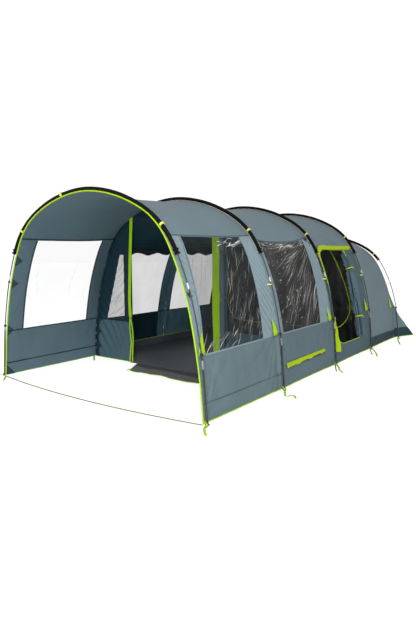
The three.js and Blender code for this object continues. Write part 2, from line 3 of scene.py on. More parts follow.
import bpy
import numpy as np
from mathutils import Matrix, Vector


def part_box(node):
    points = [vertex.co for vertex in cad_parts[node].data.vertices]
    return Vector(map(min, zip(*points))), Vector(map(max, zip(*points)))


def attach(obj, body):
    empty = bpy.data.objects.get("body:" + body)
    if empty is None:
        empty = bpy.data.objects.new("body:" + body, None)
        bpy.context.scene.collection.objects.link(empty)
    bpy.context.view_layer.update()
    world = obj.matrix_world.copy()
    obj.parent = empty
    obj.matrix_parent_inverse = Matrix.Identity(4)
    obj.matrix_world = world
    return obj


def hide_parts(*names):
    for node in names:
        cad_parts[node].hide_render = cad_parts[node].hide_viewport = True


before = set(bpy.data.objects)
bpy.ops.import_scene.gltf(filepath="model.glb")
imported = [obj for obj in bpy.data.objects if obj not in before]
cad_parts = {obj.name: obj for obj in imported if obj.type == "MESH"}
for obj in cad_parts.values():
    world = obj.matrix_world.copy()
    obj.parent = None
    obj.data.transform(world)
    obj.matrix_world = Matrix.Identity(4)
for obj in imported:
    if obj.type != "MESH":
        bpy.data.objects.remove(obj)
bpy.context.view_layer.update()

# ---- The tent's shape, as the frame has it ----


def middle(node):
    low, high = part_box(node)
    return (low + high) / 2


ARCH_Y = np.array([middle(f"near_leg_{n}").y for n in range(1, 6)])
FRONT = ARCH_Y[0]
ARCHES = ARCH_Y - FRONT  # each hoop's distance behind the first, which is what "offset" means here
ARCH_HEIGHTS = np.array([0.988, 1, 1, 0.995, 0.85])
ARCH_WIDTHS = np.array([1, 1, 1, 1, 1.035])
HALF_HOOP = [(1.515, 0), (1.478, 0.47), (1.33, 1.14), (1.055, 1.69), (0.59, 1.99), (0, 2.105)]
HOOP = np.array(HALF_HOOP + [(-x, z) for x, z in HALF_HOOP[-2::-1]], float)
FABRIC_INSET = 0.024
SAG_CROWN = 0.046
SAG_WALL = 0.010
SLEEVE_SHARE = 6 / 30  # of the hoop's length, at each end, that the sleeve leaves bare
LEG_TOP = 0.48
FERRULE_TOP = 0.55
REAR_CORNER = 6.01
REAR_MIDDLE = 6.35
REAR_HALF_WIDTH = 1.69
REAR_FOLD_Z = 0.56
REAR_SIDE_START = 0.04
REAR_GAP = 0.008

PORCH_EDGE = -0.004  # the porch fabric's front edge
EDGE_PULL = 0.026  # how much further in that edge hangs below its sleeve
EAVE_Z = 1.66
SILL_Z = 0.59
HEAD_Z = 1.652
SKIRT_TOP = 0.165
LOW_SEAM_Z = 0.17  # a seam across the porch's near wall
FAR_SILL_Z = 0.555
FAR_HEAD_Z = 1.642
CURTAIN_Z = 1.53
FAR_LOW_Z = 0.53  # the sill of the living room's far windows
VENT = (1.56, 2.56, 0.212, 0.258)
# Windows as (first offset, last offset, sill, head)
NEAR_WINDOW_A = (0.095, 1.09, SILL_Z, HEAD_Z)
NEAR_WINDOW_B = (1.505, 2.51, SILL_Z, HEAD_Z)
FAR_WINDOW_A = (0.205, 1.20, FAR_SILL_Z, FAR_HEAD_Z)
FAR_WINDOW_B = (1.52, 2.68, FAR_LOW_Z, CURTAIN_Z)
FAR_WINDOW_C = (2.95, 4.10, FAR_LOW_Z, CURTAIN_Z)
EAVE_DIP = ([1.4, 1.75, 2.12, 2.45, 2.85], [-0.04, -0.05, -0.048, -0.03, 0.022])  # behind the second hoop
SIDE_DOOR = (2.95, 3.87, 0.24, 1.54)
DOOR_BAND_Z = 1.56  # the roof's cloth comes down to here over the side door
WALL_Y = middle("front_wall").y
DOOR_X = (-0.74, 0.575)
DOOR_TOP = 1.89
DOOR_CORNER = 0.16


def catmull_rom(stops, t):
    """Points on a smooth line through the stops, where t counts the stops from 0."""
    padded = np.vstack([2 * stops[0] - stops[1], stops, 2 * stops[-1] - stops[-2]])
    i = np.minimum(t.astype(int), len(stops) - 2)
    w = (t - i)[..., None]
    a, b, c, d = (padded[i + k] for k in range(4))
    return b + 0.5 * w * (c - a + w * (2 * a - 5 * b + 4 * c - d + w * (3 * (b - c) + d - a)))


def run_along(line):
    """How far along a line each of its points lies."""
    return np.concatenate([[0], np.cumsum(np.linalg.norm(np.diff(line, axis=0), axis=1))])


def hoop(s):
    """Points [x, z] of the tallest hoop's centre line: s is 0 at the near foot and 1 at the far foot."""
    return catmull_rom(HOOP, np.clip(np.asarray(s, float), 0, 1) * (len(HOOP) - 1))


HALF_S = np.linspace(0, 0.5, 3000)
HALF_Z = hoop(HALF_S)[:, 1]


def s_at(z):
    """The place on the near half of the tallest hoop at height z."""
    return np.interp(z, HALF_Z, HALF_S)


def inward(s, height):
    """The unit vector [x, z] that points into the tent, at s on a hoop of that share of the full height."""
    step = 1e-3
    tangent = hoop(np.minimum(1, s + step)) - hoop(np.maximum(0, s - step))
    tangent = tangent * np.stack([np.ones_like(height), height], -1)
    tangent = tangent / np.linalg.norm(tangent, axis=-1, keepdims=True)
    return np.stack([-tangent[..., 1], tangent[..., 0]], -1)


def tunnel(s, offset, depth=0.0):
    """The flysheet's outer face, moved into the tent by depth."""
    s, offset, depth = np.broadcast_arrays(*[np.asarray(a, float) for a in (s, offset, depth)])
    height = np.interp(offset, ARCHES, ARCH_HEIGHTS)
    i = np.clip(np.searchsorted(ARCHES, offset) - 1, 0, len(ARCHES) - 2)
    v = np.clip((offset - ARCHES[i]) / (ARCHES[i + 1] - ARCHES[i]), 0, 1)
    sag = SAG_WALL + (SAG_CROWN - SAG_WALL) * np.sin(np.pi * s) ** 2
    from_foot = np.minimum(s, 1 - s)
    hang = np.clip((0.34 - from_foot) / 0.08, 0, 1) * (0.45 + 0.55 * np.clip(from_foot / 0.06, 0, 1))
    edge = EDGE_PULL * hang * np.exp(-((offset / 0.3) ** 2))
    push = FABRIC_INSET + sag * 4 * v * (1 - v) + edge + depth
    at = hoop(s) * np.stack([np.ones_like(height), height], -1) + inward(s, height) * push[..., None]
    return np.stack([at[..., 0], FRONT + offset, np.maximum(0.002, at[..., 1])], -1)


def outward(s, offset):
    """The unit vector that points out of the tent, as [x, y, z] rows."""
    s, offset = np.broadcast_arrays(np.asarray(s, float), np.asarray(offset, float))
    n = -inward(s, np.interp(offset, ARCHES, ARCH_HEIGHTS))
    return np.stack([n[..., 0], np.zeros_like(s), n[..., 1]], -1)


def pole(arch, s):
    """Points on a hoop's centre line."""
    p = hoop(s)
    y = np.full(p.shape[:-1], ARCH_Y[arch])
    return np.stack([p[..., 0] * ARCH_WIDTHS[arch], y, p[..., 1] * ARCH_HEIGHTS[arch]], -1)


def eave(offset):
    """The height of the seam between roof and near wall."""
    dip = np.interp(offset, *EAVE_DIP, left=0, right=0)
    return EAVE_Z + np.where((offset >= ARCHES[1]) & (offset <= ARCHES[2]), dip, 0)


def pole_span(arch, start, end, steps):
    """Evenly spaced s along the bare part of a hoop: start and end are shares of its length."""
    low = s_at((FERRULE_TOP + 0.002) / ARCH_HEIGHTS[arch])
    s = np.linspace(low, 1 - low, 1200)
    length = run_along(pole(arch, s))
    return np.interp(np.linspace(start, end, steps + 1) * length[-1], length, s)


REAR_FOLD_S = s_at(REAR_FOLD_Z / ARCH_HEIGHTS[4])


def rear(s, w, depth=0.0):
    """The rear panel: straight lines from the last hoop, w 0, down to the hem, w 1."""
    s, w, depth = np.broadcast_arrays(*[np.asarray(a, float) for a in (s, w, depth)])
    last = ARCHES[4]
    top = tunnel(s, last, depth)
    top[..., 1] += REAR_GAP
    side = np.where(s < 0.5, 1.0, -1.0)
    from_foot = np.minimum(s, 1 - s)
    foot_x = abs(tunnel(0.0, last)[0])
    share = np.clip(from_foot / REAR_FOLD_S, 0, 1)
    side_x = foot_x + (REAR_HALF_WIDTH - foot_x) * share
    side_y = last + REAR_SIDE_START + (REAR_CORNER - last - REAR_SIDE_START) * share
    across = 1 - 2 * (from_foot - REAR_FOLD_S) / (1 - 2 * REAR_FOLD_S)
    back_y = REAR_CORNER + (REAR_MIDDLE - REAR_CORNER) * (1 - across**2)
    on_side = from_foot < REAR_FOLD_S
    foot_x = side * np.where(on_side, side_x, REAR_HALF_WIDTH * across) - side * depth
    foot_y = FRONT + np.where(on_side, side_y, back_y) - depth * (1 - w)
    foot = np.stack([foot_x, foot_y, np.full(s.shape, 0.003)], -1)
    return top + (foot - top) * w[..., None]


# ---- Mesh tools ----


class Part:
    """Vertices, faces, a UV in metres for each vertex and a material number for each face."""

    def __init__(self, points, faces, uv, number=0):
        self.points = np.asarray(points, float).reshape(-1, 3)
        self.faces = [tuple(int(k) for k in face) for face in faces]
        self.uv = np.asarray(uv, float).reshape(-1, 2)
        self.numbers = list(number) if np.ndim(number) else [number] * len(self.faces)

    def moved(self, by):
        return Part(self.points + np.asarray(by), self.faces, self.uv, self.numbers)


def joined(parts):
    points = np.vstack([part.points for part in parts])
    uv = np.vstack([part.uv for part in parts])
    faces, numbers, first = [], [], 0
    for part in parts:
        faces += [tuple(k + first for k in face) for face in part.faces]
        numbers += part.numbers
        first += len(part.points)
    return Part(points, faces, uv, numbers)


def lengths(points, axis):
    """How far along each row or column of a grid each of its points lies, at the grid's middle."""
    step = np.linalg.norm(np.diff(points, axis=axis), axis=-1)
    start = np.zeros_like(np.take(step, [0], axis))
    return np.cumsum(np.concatenate([start, step], axis), axis)


def grid(points, hole=None, number=None):
    """A sheet over a grid of points. Faces turn outwards where rows run up the near side."""
    rows, columns = points.shape[:2]
    index = np.arange(rows * columns).reshape(rows, columns)
    quads = np.stack([index[:-1, :-1], index[:-1, 1:], index[1:, 1:], index[1:, :-1]], -1)
    keep = np.ones((rows - 1, columns - 1), bool) if hole is None else ~hole
    numbers = np.zeros((rows - 1, columns - 1), int) if number is None else number
    quads, numbers = quads[keep], numbers[keep]
    uv = np.stack([lengths(points, 1), lengths(points, 0)], -1).reshape(-1, 2)
    used, renumbered = np.unique(quads, return_inverse=True)
    return Part(points.reshape(-1, 3)[used], renumbered.reshape(-1, 4), uv[used], numbers)


def unit(vectors):
    return vectors / np.maximum(np.linalg.norm(vectors, axis=-1, keepdims=True), 1e-9)


def axes_along(path, up, closed=False):
    """Unit vectors across a path and up from it, at each of its points."""
    if closed:
        tangent = unit(np.roll(path, -1, 0) - np.roll(path, 1, 0))
    else:
        tangent = unit(np.gradient(path, axis=0))
    across = unit(np.cross(tangent, np.broadcast_to(up, path.shape)))
    return across, np.cross(across, tangent)


def sweep(path, section, up=(0, 0, 1), scale=None, closed=False):
    """A closed section of [across, up] offsets carried along a path. up is one vector or one for each
    point, and scale is one factor for each point, or one across and one up."""
    path = np.asarray(path, float)
    section = np.asarray(section, float)
    across, rise = axes_along(path, up, closed)
    size = np.ones(len(path)) if scale is None else np.asarray(scale, float)
    spread = section[None, :, :] * np.ones((len(path), 1, 1))
    spread[..., 0] *= size[:, None] if size.ndim == 1 else size[:, :1]
    spread[..., 1] *= 1 if size.ndim == 1 else size[:, 1:]
    points = path[:, None] + across[:, None] * spread[..., :1] + rise[:, None] * spread[..., 1:]
    count, sides = len(path), len(section)
    index = np.arange(count * sides).reshape(count, sides)
    ahead = np.roll(index, -1, 1)
    last = count if closed else count - 1
    nxt = np.roll(index, -1, 0)
    quads = np.stack([index[:last], ahead[:last], nxt[:last][:, np.r_[1:sides, 0]], nxt[:last]], -1)
    faces = [tuple(q) for q in quads.reshape(-1, 4)]
    if not closed:
        faces += [tuple(index[0][::-1]), tuple(index[-1])]
    uv = np.stack(np.meshgrid(run_along(section), run_along(path)), -1).reshape(-1, 2)
    return Part(points, faces, uv)


def ring(radius, sides=12):
    """The section of a round bar."""
    angle = 2 * np.pi * (np.arange(sides) + 0.5) / sides
    return np.stack([radius * np.cos(angle), radius * np.sin(angle)], -1)


def circle(centre, radius, first, second, count):
    """Points round a circle that starts towards first and goes on towards second."""
    angle = 2 * np.pi * np.arange(count)[:, None] / count
    return centre + radius * (np.cos(angle) * first + np.sin(angle) * second)


def flat(width, thickness):
    """The section of a strap: a flat rectangle with its corners taken off."""
    a, b, c = width / 2, thickness / 2, thickness / 3
    half = [(a, -b + c), (a, b - c), (a - c, b), (0, b), (-a + c, b), (-a, b - c)]
    return np.array(half + [(-x, -y) for x, y in half])


def lathe(profile, start, axis):
    """A turned solid: profile is [radius, distance along the axis from start]."""
    sides = 20
    axis = unit(np.asarray(axis, float))
    side = unit(np.cross(axis, (0, 1, 0.01)))
    turn = circle(0, 1, side, np.cross(axis, side), sides)
    angle = 2 * np.pi * np.arange(sides) / sides
    points, faces, uv = [], [], []
    for k, (radius, along) in enumerate(profile):
        points.append(np.asarray(start) + axis * along + turn * radius)
        uv.append(np.stack([angle * max(radius, 1e-3), np.full(sides, along)], -1))
        if k:
            a = (k - 1) * sides
            for j in range(sides):
                i = (j + 1) % sides
                faces.append((a + j, a + i, a + sides + i, a + sides + j))
    top = (len(profile) - 1) * sides
    faces += [tuple(range(sides))[::-1], tuple(range(top, top + sides))]
    return Part(np.vstack(points), faces, np.vstack(uv))


def evenly(line, steps):
    """The same line with its points at even distances."""
    run = run_along(line)
    even = np.linspace(0, run[-1], steps + 1)
    return np.stack([np.interp(even, run, column) for column in line.T], -1)


def smooth_line(points, steps):
    """An evenly spaced smooth line through a few points."""
    stops = np.asarray(points, float)
    return evenly(catmull_rom(stops, np.linspace(0, len(stops) - 1, 40 * len(stops))), steps)


def between(stops, step):
    """Values that pass through every stop, with gaps of about step."""
    out = [stops[0]]
    for a, b in zip(stops, stops[1:]):
        count = max(1, round((b - a) / step))
        out += [a + (b - a) * k / count for k in range(1, count + 1)]
    return np.array(out)


def build(name, part, looks, body="root", slot=None, replaces=(), thickness=None, inside=None, sharp=40):
    """Makes a piece that rides on a body. thickness makes a sheet solid, and inside is its inner material."""
    if not isinstance(part, Part):
        part = joined(part)
    looks = looks if isinstance(looks, (list, tuple)) else [looks]
    mesh = bpy.data.meshes.new(name)
    mesh.from_pydata(part.points.tolist(), [], part.faces)
    linings = inside if isinstance(inside, (list, tuple)) else [inside] * len(looks)
    for look in [*looks, *(linings if inside else [])]:
        mesh.materials.append(look)
    mesh.polygons.foreach_set("material_index", part.numbers)
    corner = np.zeros(len(mesh.loops), int)
    mesh.loops.foreach_get("vertex_index", corner)
    layer = mesh.uv_layers.new(name="UVMap")
    layer.data.foreach_set("uv", part.uv[corner].astype(np.float32).ravel())
    mesh.shade_smooth()
    mesh.set_sharp_from_angle(angle=math.radians(sharp))
    piece = bpy.data.objects.new(name, mesh)
    bpy.context.scene.collection.objects.link(piece)
    if thickness:
        solid = piece.modifiers.new("thickness", "SOLIDIFY")
        solid.thickness = thickness
        solid.offset = -1
        if inside:
            solid.material_offset = len(looks)
    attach(piece, body)
    if replaces:
        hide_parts(*([replaces] if isinstance(replaces, str) else replaces))
    return piece


# ---- Relief: folds, ripples and creases ----


def ripples(u, v, seed, amount, sizes):
    """Soft uneven ripples: a sum of waves in random directions."""
    random = np.random.default_rng(seed)
    total = np.zeros(np.broadcast(u, v).shape)
    for size in sizes:
        for _ in range(3):
            angle, phase = random.uniform(0, 2 * np.pi, 2)
            total += size * np.sin((u * np.cos(angle) + v * np.sin(angle)) * 2 * np.pi / size + phase)
    return amount * total / (2 * sum(sizes))


def pulls(u, v, corner, reach, folds, amount, seed):
    """Folds that run out from a corner where the fabric is pulled."""
    random = np.random.default_rng(seed)
    du, dv = u - corner[0], v - corner[1]
    r = np.hypot(du, dv)
    angle = np.arctan2(dv, du) + 0.05 * np.sin(r * 9 + random.uniform(0, 6))
    wave = np.sin(angle * folds + random.uniform(0, 6))
    wave = wave + 0.5 * np.sin(angle * folds * 1.7 + random.uniform(0, 6))
    return amount * wave * np.exp(-r / reach) * r / (r + 0.06)


def fan(u, v, corner, folds, reach, amount, seed):
    """Crisp folds that run out from a corner, with a ridge at every fold."""
    random = np.random.default_rng(seed)
    du, dv = u - corner[0], v - corner[1]
    r = np.hypot(du, dv)
    angle = np.arctan2(dv, du) + 0.03 * np.sin(r * 11 + random.uniform(0, 6)) + 0.02 * np.sin(du * 23)
    uneven = 0.7 + 0.3 * np.sin(angle * folds * 0.37 + random.uniform(0, 6))
    ridge = 1 - 2 * np.abs(np.sin(angle * folds / 2 + 0.8 * np.sin(angle * 5 + random.uniform(0, 6))))
    return amount * ridge * uneven * r / (r + 0.12) * np.exp(-r / reach)


def fade(value, low, high, margin):
    """1 inside low to high, falling smoothly to 0 at both ends over the margin."""
    t = np.clip(np.minimum(value - low, high - value) / margin, 0, 1)
    return t * t * (3 - 2 * t)


def creases(u, v, groups, seed):
    """Sharp creases in clear film, as their depth and their shine, a painted highlight. Each group is a
    number of strokes, the area their middles lie in, the direction at each middle, its spread, the half
    lengths, the half width and the strength of its painted highlight."""
    random = np.random.default_rng(seed)
    depth = np.zeros(u.shape)
    shine = np.zeros(u.shape)
    for count, (u0, u1, v0, v1), turn, spread, size, width, strength in groups:
        for _ in range(count):
            cu, cv = random.uniform(u0, u1), random.uniform(v0, v1)
            angle = turn(cu, cv) + random.normal(0, spread)
            half = random.uniform(*size)
            wide = width * random.uniform(0.7, 1.4)
            along = (u - cu) * np.cos(angle) + (v - cv) * np.sin(angle)
            aside = (v - cv) * np.cos(angle) - (u - cu) * np.sin(angle) + 0.10 * along**2 / half
            taper = np.clip(1 - (along / half) ** 2, 0, 1)
            stroke = np.exp(-((aside / wide) ** 2)) * taper
            depth += random.choice([-1, 1]) * 0.5 * wide * stroke
            # shine: how strongly each crease is painted as a highlight
            shine = np.maximum(shine, strength * random.uniform(0.3, 1) * stroke)
    return np.clip(depth, -0.006, 0.006), shine


# ---- Materials ----


def colour(hexcode, gain=1.0):
    """A linear colour from an sRGB hex code."""
    value = [int(hexcode[k : k + 2], 16) / 255 for k in (0, 2, 4)]
    return [gain * (c / 12.92 if c <= 0.04045 else ((c + 0.055) / 1.055) ** 2.4) for c in value] + [1.0]


def shade(base, gain, lift=0.0):
    """A linear colour made lighter or darker."""
    return [min(1, c * gain + lift) for c in base[:3]] + [1]


class Look:
    """A node material with short calls for the nodes that these materials share."""

    def __init__(self, name, roughness, metallic=0.0, **sockets):
        self.material = bpy.data.materials.new(name)
        self.material.use_nodes = True
        self.nodes = self.material.node_tree.nodes
        self.links = self.material.node_tree.links
        self.shader = self.nodes["Principled BSDF"]
        self.shader.inputs["Roughness"].default_value = roughness
        self.shader.inputs["Metallic"].default_value = metallic
        for socket, value in sockets.items():
            self.shader.inputs[socket.replace("_", " ")].default_value = value

    def node(self, kind, **settings):
        node = self.nodes.new(kind)
        for key, value in settings.items():
            setattr(node, key, value)
        return node

    def join(self, source, target):
        self.links.new(source, target)

    def coordinates(self, kind="UV", scale=(1, 1, 1)):
        source = self.node("ShaderNodeTexCoord").outputs[kind]
        mapping = self.node("ShaderNodeMapping")
        mapping.inputs["Scale"].default_value = scale
        self.join(source, mapping.inputs["Vector"])
        return mapping.outputs["Vector"]

    def noise(self, size, detail=3, kind="Object", stretch=(1, 1, 1)):
        node = self.node("ShaderNodeTexNoise")
        node.inputs["Scale"].default_value = 1 / size
        node.inputs["Detail"].default_value = detail
        self.join(self.coordinates(kind, stretch), node.inputs["Vector"])
        return node.outputs["Fac"]

    def wave(self, size, direction, distort=0.0):
        node = self.node("ShaderNodeTexWave", bands_direction=direction)
        node.inputs["Scale"].default_value = 0.314 / size  # one band for each size
        node.inputs["Distortion"].default_value = distort
        self.join(self.coordinates(), node.inputs["Vector"])
        return node.outputs["Fac"]

    def sum(self, a, b, operation="ADD"):
        node = self.node("ShaderNodeMath", operation=operation)
        for socket, value in zip(node.inputs, (a, b)):
            if isinstance(value, (int, float)):
                socket.default_value = value
            else:
                self.join(value, socket)
        return node.outputs[0]

    def blend(self, *shares):
        """A weighted sum of factors, from pairs of a factor and its weight."""
        total = 0.0
        for k, (fac, weight) in enumerate(shares):
            weighted = self.sum(fac, weight, "MULTIPLY")
            total = self.sum(total, weighted) if k else weighted
        return total

    def ramp(self, fac, stops):
        node = self.node("ShaderNodeValToRGB")
        node.color_ramp.elements[0].position = stops[0][0]
        node.color_ramp.elements[0].color = stops[0][1]
        node.color_ramp.elements[1].position = stops[-1][0]
        node.color_ramp.elements[1].color = stops[-1][1]
        for position, value in stops[1:-1]:
            node.color_ramp.elements.new(position).color = value
        self.join(fac, node.inputs["Fac"])
        return node.outputs["Color"]

    def grey(self, fac, low, high, dark, light):
        """Spreads low to high of a factor over dark to light."""
        node = self.node("ShaderNodeMapRange")
        for socket, value in zip(node.inputs[1:5], (low, high, dark, light)):
            socket.default_value = value
        self.join(fac, node.inputs["Value"])
        return node.outputs["Result"]

    def paint(self, output):
        self.join(output, self.shader.inputs["Base Color"])

    def set(self, socket, output):
        self.join(output, self.shader.inputs[socket])

    def bump(self, height, distance):
        node = self.node("ShaderNodeBump")
        node.inputs["Distance"].default_value = distance
        node.inputs["Strength"].default_value = 1.0
        self.join(height, node.inputs["Height"])
        self.join(node.outputs["Normal"], self.shader.inputs["Normal"])


def woven(name, hexcode, roughness=0.66, thread=0.0016, vary=0.10, gain=1.0, gloss=0.12):
    """Woven cloth: threads both ways, a faint uneven dye and painted shade in the hollows between threads."""
    look = Look(name, roughness, Specular_IOR_Level=gloss)
    warp = look.wave(thread, "X", distort=0.4)
    weft = look.wave(thread, "Y", distort=0.4)
    weave = look.sum(warp, weft, "MULTIPLY")
    cloud = look.noise(0.55, 4)
    speck = look.noise(0.012, 2)
    # the weave's share of the colour darkens the hollows between threads: painted shade
    mixed = look.blend((cloud, 0.75), (speck, 0.15), (weave, 0.10))
    base = colour(hexcode, gain)
    look.paint(look.ramp(mixed, [(0.3, shade(base, 1 - vary)), (0.5, base), (0.72, shade(base, 1 + vary))]))
    look.set("Roughness", look.grey(cloud, 0.3, 0.7, roughness - 0.06, roughness + 0.06))
    look.bump(look.sum(weave, look.sum(speck, 0.5, "MULTIPLY")), 0.0003)
    return look.material


def webbing(name, hexcode, gain=1.0):
    """Ribbed tape: ribs across it, with a painted highlight on their crowns."""
    look = Look(name, 0.65, Specular_IOR_Level=0.1)
    ribs = look.wave(0.0022, "Y", distort=0.3)
    speck = look.noise(0.02, 3)
    base = colour(hexcode, gain)
    # the ribs' crowns painted lighter than their grooves: painted highlight
    look.paint(look.ramp(look.blend((ribs, 0.5), (speck, 0.5)), [(0.2, shade(base, 0.86)), (0.75, base)]))
    look.bump(ribs, 0.0004)
    return look.material


def moulded(name, hexcode):
    """Moulded plastic with a fine grain and a few scuffs."""
    look = Look(name, 0.4)
    grain = look.noise(0.0015, 2)
    scuff = look.noise(0.03, 3)
    base = colour(hexcode)
    look.paint(look.ramp(scuff, [(0.3, base), (0.75, shade(base, 1.35, 0.004))]))
    look.bump(grain, 0.0002)
    return look.material


def metal(name, hexcode, roughness, brushed=(1, 1, 0.05)):
    """Bare metal with fine streaks along the way it is brushed."""
    look = Look(name, roughness, metallic=1.0)
    streak = look.noise(0.002, 3, stretch=brushed)
    base = colour(hexcode)
    look.paint(look.ramp(streak, [(0.3, shade(base, 0.82)), (0.7, base)]))
    look.set("Roughness", look.grey(streak, 0.2, 0.8, roughness - 0.08, roughness + 0.12))
    look.bump(streak, 0.0001)
    return look.material


def pole_rod(name):
    """Pultruded fibreglass: fine fibres along the rod under a glossy resin."""
    look = Look(name, 0.35, Specular_IOR_Level=0.3)
    fibre = look.noise(0.0015, 3, stretch=(1, 1, 0.04))
    look.paint(look.ramp(fibre, [(0.3, colour("1a1b1d")), (0.7, colour("3a3b3d"))]))
    look.bump(fibre, 0.0001)
    return look.material


def steel_tube(name):
    """Black powder coat with a fine orange peel, worn a little brighter in places."""
    look = Look(name, 0.38)
    peel = look.noise(0.002, 2)
    worn = look.noise(0.05, 5)
    look.paint(look.ramp(worn, [(0.3, colour("141618")), (0.62, colour("1d2022")), (0.8, colour("34373a"))]))
    look.bump(peel, 0.00015)
    return look.material


def film(name, tint, haze, streak=0.0, lean=0.0, mottle=0.0):
    """Clear film: hazy where it lies flat, and more opaque and painted light grey to white where it is
    creased, a painted highlight. streak is how much the fine creases show as painted highlights, which run
    along lean in the sheet, and mottle is how much its hammered crinkle shows as painted highlights."""
    look = Look(name, 0.25, Specular_IOR_Level=0.12)
    # the crease attribute is each crease's painted highlight, which also makes the film more opaque there
    crease = look.node("ShaderNodeAttribute", attribute_name="crease").outputs["Fac"]
    cover = look.sum(look.grey(look.noise(0.5, 3), 0.3, 0.7, 0.88 * haze, 1.12 * haze), crease)
    shine = crease
    if streak:
        mapping = look.node("ShaderNodeMapping", vector_type="TEXTURE")
        mapping.inputs["Rotation"].default_value = (0, 0, lean)
        mapping.inputs["Scale"].default_value = (0.30, 0.010, 1)
        look.join(look.node("ShaderNodeTexCoord").outputs["UV"], mapping.inputs["Vector"])
        lines = look.node("ShaderNodeTexNoise")
        lines.inputs["Scale"].default_value = 1.0
        lines.inputs["Detail"].default_value = 2
        look.join(mapping.outputs["Vector"], lines.inputs["Vector"])
        # the fine crease lines and the hammered crinkle are painted as highlights and made more opaque
        fine = look.grey(lines.outputs["Fac"], 0.54, 0.70, 0.0, streak)
        hammered = look.grey(look.noise(0.016, 2, "UV"), 0.42, 0.68, 0.0, mottle)
        texture = look.sum(fine, hammered, "MAXIMUM")
        shine = look.sum(shine, texture, "MAXIMUM")
        cover = look.sum(cover, texture)
    look.set("Alpha", look.grey(cover, 0.0, 1.0, 0.0, 0.96))
    plain, glint_grey, bright = colour(tint), colour("b4b6b0"), colour("f2f4f4")
    # creases painted from grey to near white: painted highlights
    look.paint(look.ramp(shine, [(0.0, plain), (0.22, plain), (0.55, glint_grey), (0.85, bright)]))
    look.bump(look.noise(0.02, 3), 0.001)
    return look.material


def netting(name):
    """Fine black insect net: threads with open cells between them."""
    look = Look(name, 0.7)
    cells = look.sum(look.wave(0.0022, "X"), look.wave(0.0022, "Y"), "MAXIMUM")
    look.paint(look.ramp(cells, [(0.2, colour("0c0d0e")), (0.9, colour("202224"))]))
    look.set("Alpha", look.grey(cells, 0.3, 0.75, 0.72, 1.0))
    look.bump(cells, 0.0004)
    return look.material


def ground_foil(name):
    """Woven polyethylene groundsheet: flat tapes both ways with a dull shine."""
    look = Look(name, 0.5, Specular_IOR_Level=0.35)
    tape = look.sum(look.wave(0.004, "X"), look.wave(0.004, "Y"), "MULTIPLY")
    cloud = look.noise(0.7, 5)
    stops = [(0.3, colour("383c41")), (0.5, colour("484c52")), (0.7, colour("5a5e64"))]
    look.paint(look.ramp(look.blend((cloud, 0.85), (tape, 0.15)), stops))
    look.set("Roughness", look.grey(cloud, 0.3, 0.7, 0.42, 0.62))
    look.bump(tape, 0.0004)
    return look.material


ROOF = woven("flysheet_roof", "6c7f86", gain=0.78)
WALL_A = woven("flysheet_wall_a", "66797f", gain=0.73)
WALL_B = woven("flysheet_wall_b", "5c6f76", gain=0.76)
WALL_C = woven("flysheet_wall_c", "4e626b", gain=0.76)
WALL_FAR = woven("flysheet_wall_far", "66777e", gain=0.80)
BAND = woven("flysheet_band", "8da1a9", gain=0.66, vary=0.14)
SKIRT = woven("dark_skirt", "243f49", gain=0.75, vary=0.25)
COATED = woven("flysheet_coated_side", "51656e", roughness=0.55, vary=0.06, gain=0.88)
# painted shade: the coated side in its own tone for the living room, tuned to how it looks in that room's
# shade
COATED_LIVING_PAINTED_SHADE = woven("living_room_coated_side_painted_shade", "405a64", roughness=0.55, vary=0.10, gain=1.35)
# painted shade: the coated side darkened for the living room's roof
COATED_ROOF_PAINTED_SHADE = woven("living_room_roof_coated_side_painted_shade", "1c3640", roughness=0.55, vary=0.2)
COATED_SHADE = woven("shaded_coated_side", "182f39", roughness=0.6, vary=0.10)
DEEP = woven("front_wall_cloth", "3a4f58", vary=0.10, gain=1.1)
# painted shade: a darker copy of the front wall's cloth, for its header, the band along the flysheet and the
# far half's upper part
FRONT_PAINTED_SHADE = woven("front_wall_header_painted_shade", "142c36", vary=0.15)
PATCH = woven("dark_patch_cloth", "2a3a42", thread=0.001)
# painted shade: the seam tapes darker than the flysheet, for the shade along each seam, and darker again
# inside
SEAM_TAPE_PAINTED_SHADE = woven("seam_tape_painted_shade", "3c4d55", gain=1.0, thread=0.001)
SEAM_INSIDE_PAINTED_SHADE = woven("seam_tape_inside_painted_shade", "1d2a31", gain=0.8, thread=0.001)
SLEEVE = woven("sleeve_cloth", "0b0c0e", roughness=0.85, thread=0.001, vary=0.35)
INNER = woven("bedroom_cloth", "191a1b", roughness=0.32, vary=0.25, thread=0.001, gloss=0.28)
CURTAIN = woven("curtain_cloth", "1c262c", roughness=0.75, vary=0.25)
# painted shade: the wall cloth darkened for the shade in and between the roll's turns
ROLL_PAINTED_SHADE = woven("rolled_door_cloth_painted_shade", "66797f", gain=0.55, vary=0.3)
SILL = woven("sill_cloth", "6b6a6e", roughness=0.6, gain=0.8, vary=0.14)
SILL_DARK = woven("sill_cloth_dark", "46464a", roughness=0.6, gain=0.85)
LIME = webbing("lime_tape", "a4cc06", gain=0.9)
LIME_CLOTH = woven("lime_cloth", "9fba00", thread=0.001, vary=0.08, gain=0.85)
# painted shade: a second lime cloth for the door flaps inside the porch, tuned to how they look in its shade
LIME_INSIDE_PAINTED_SHADE = woven("lime_cloth_inside_painted_shade", "93c000", thread=0.001, vary=0.08, gain=0.95)
LIME_PALE = webbing("lime_pale_tape", "dfe668", gain=0.85)
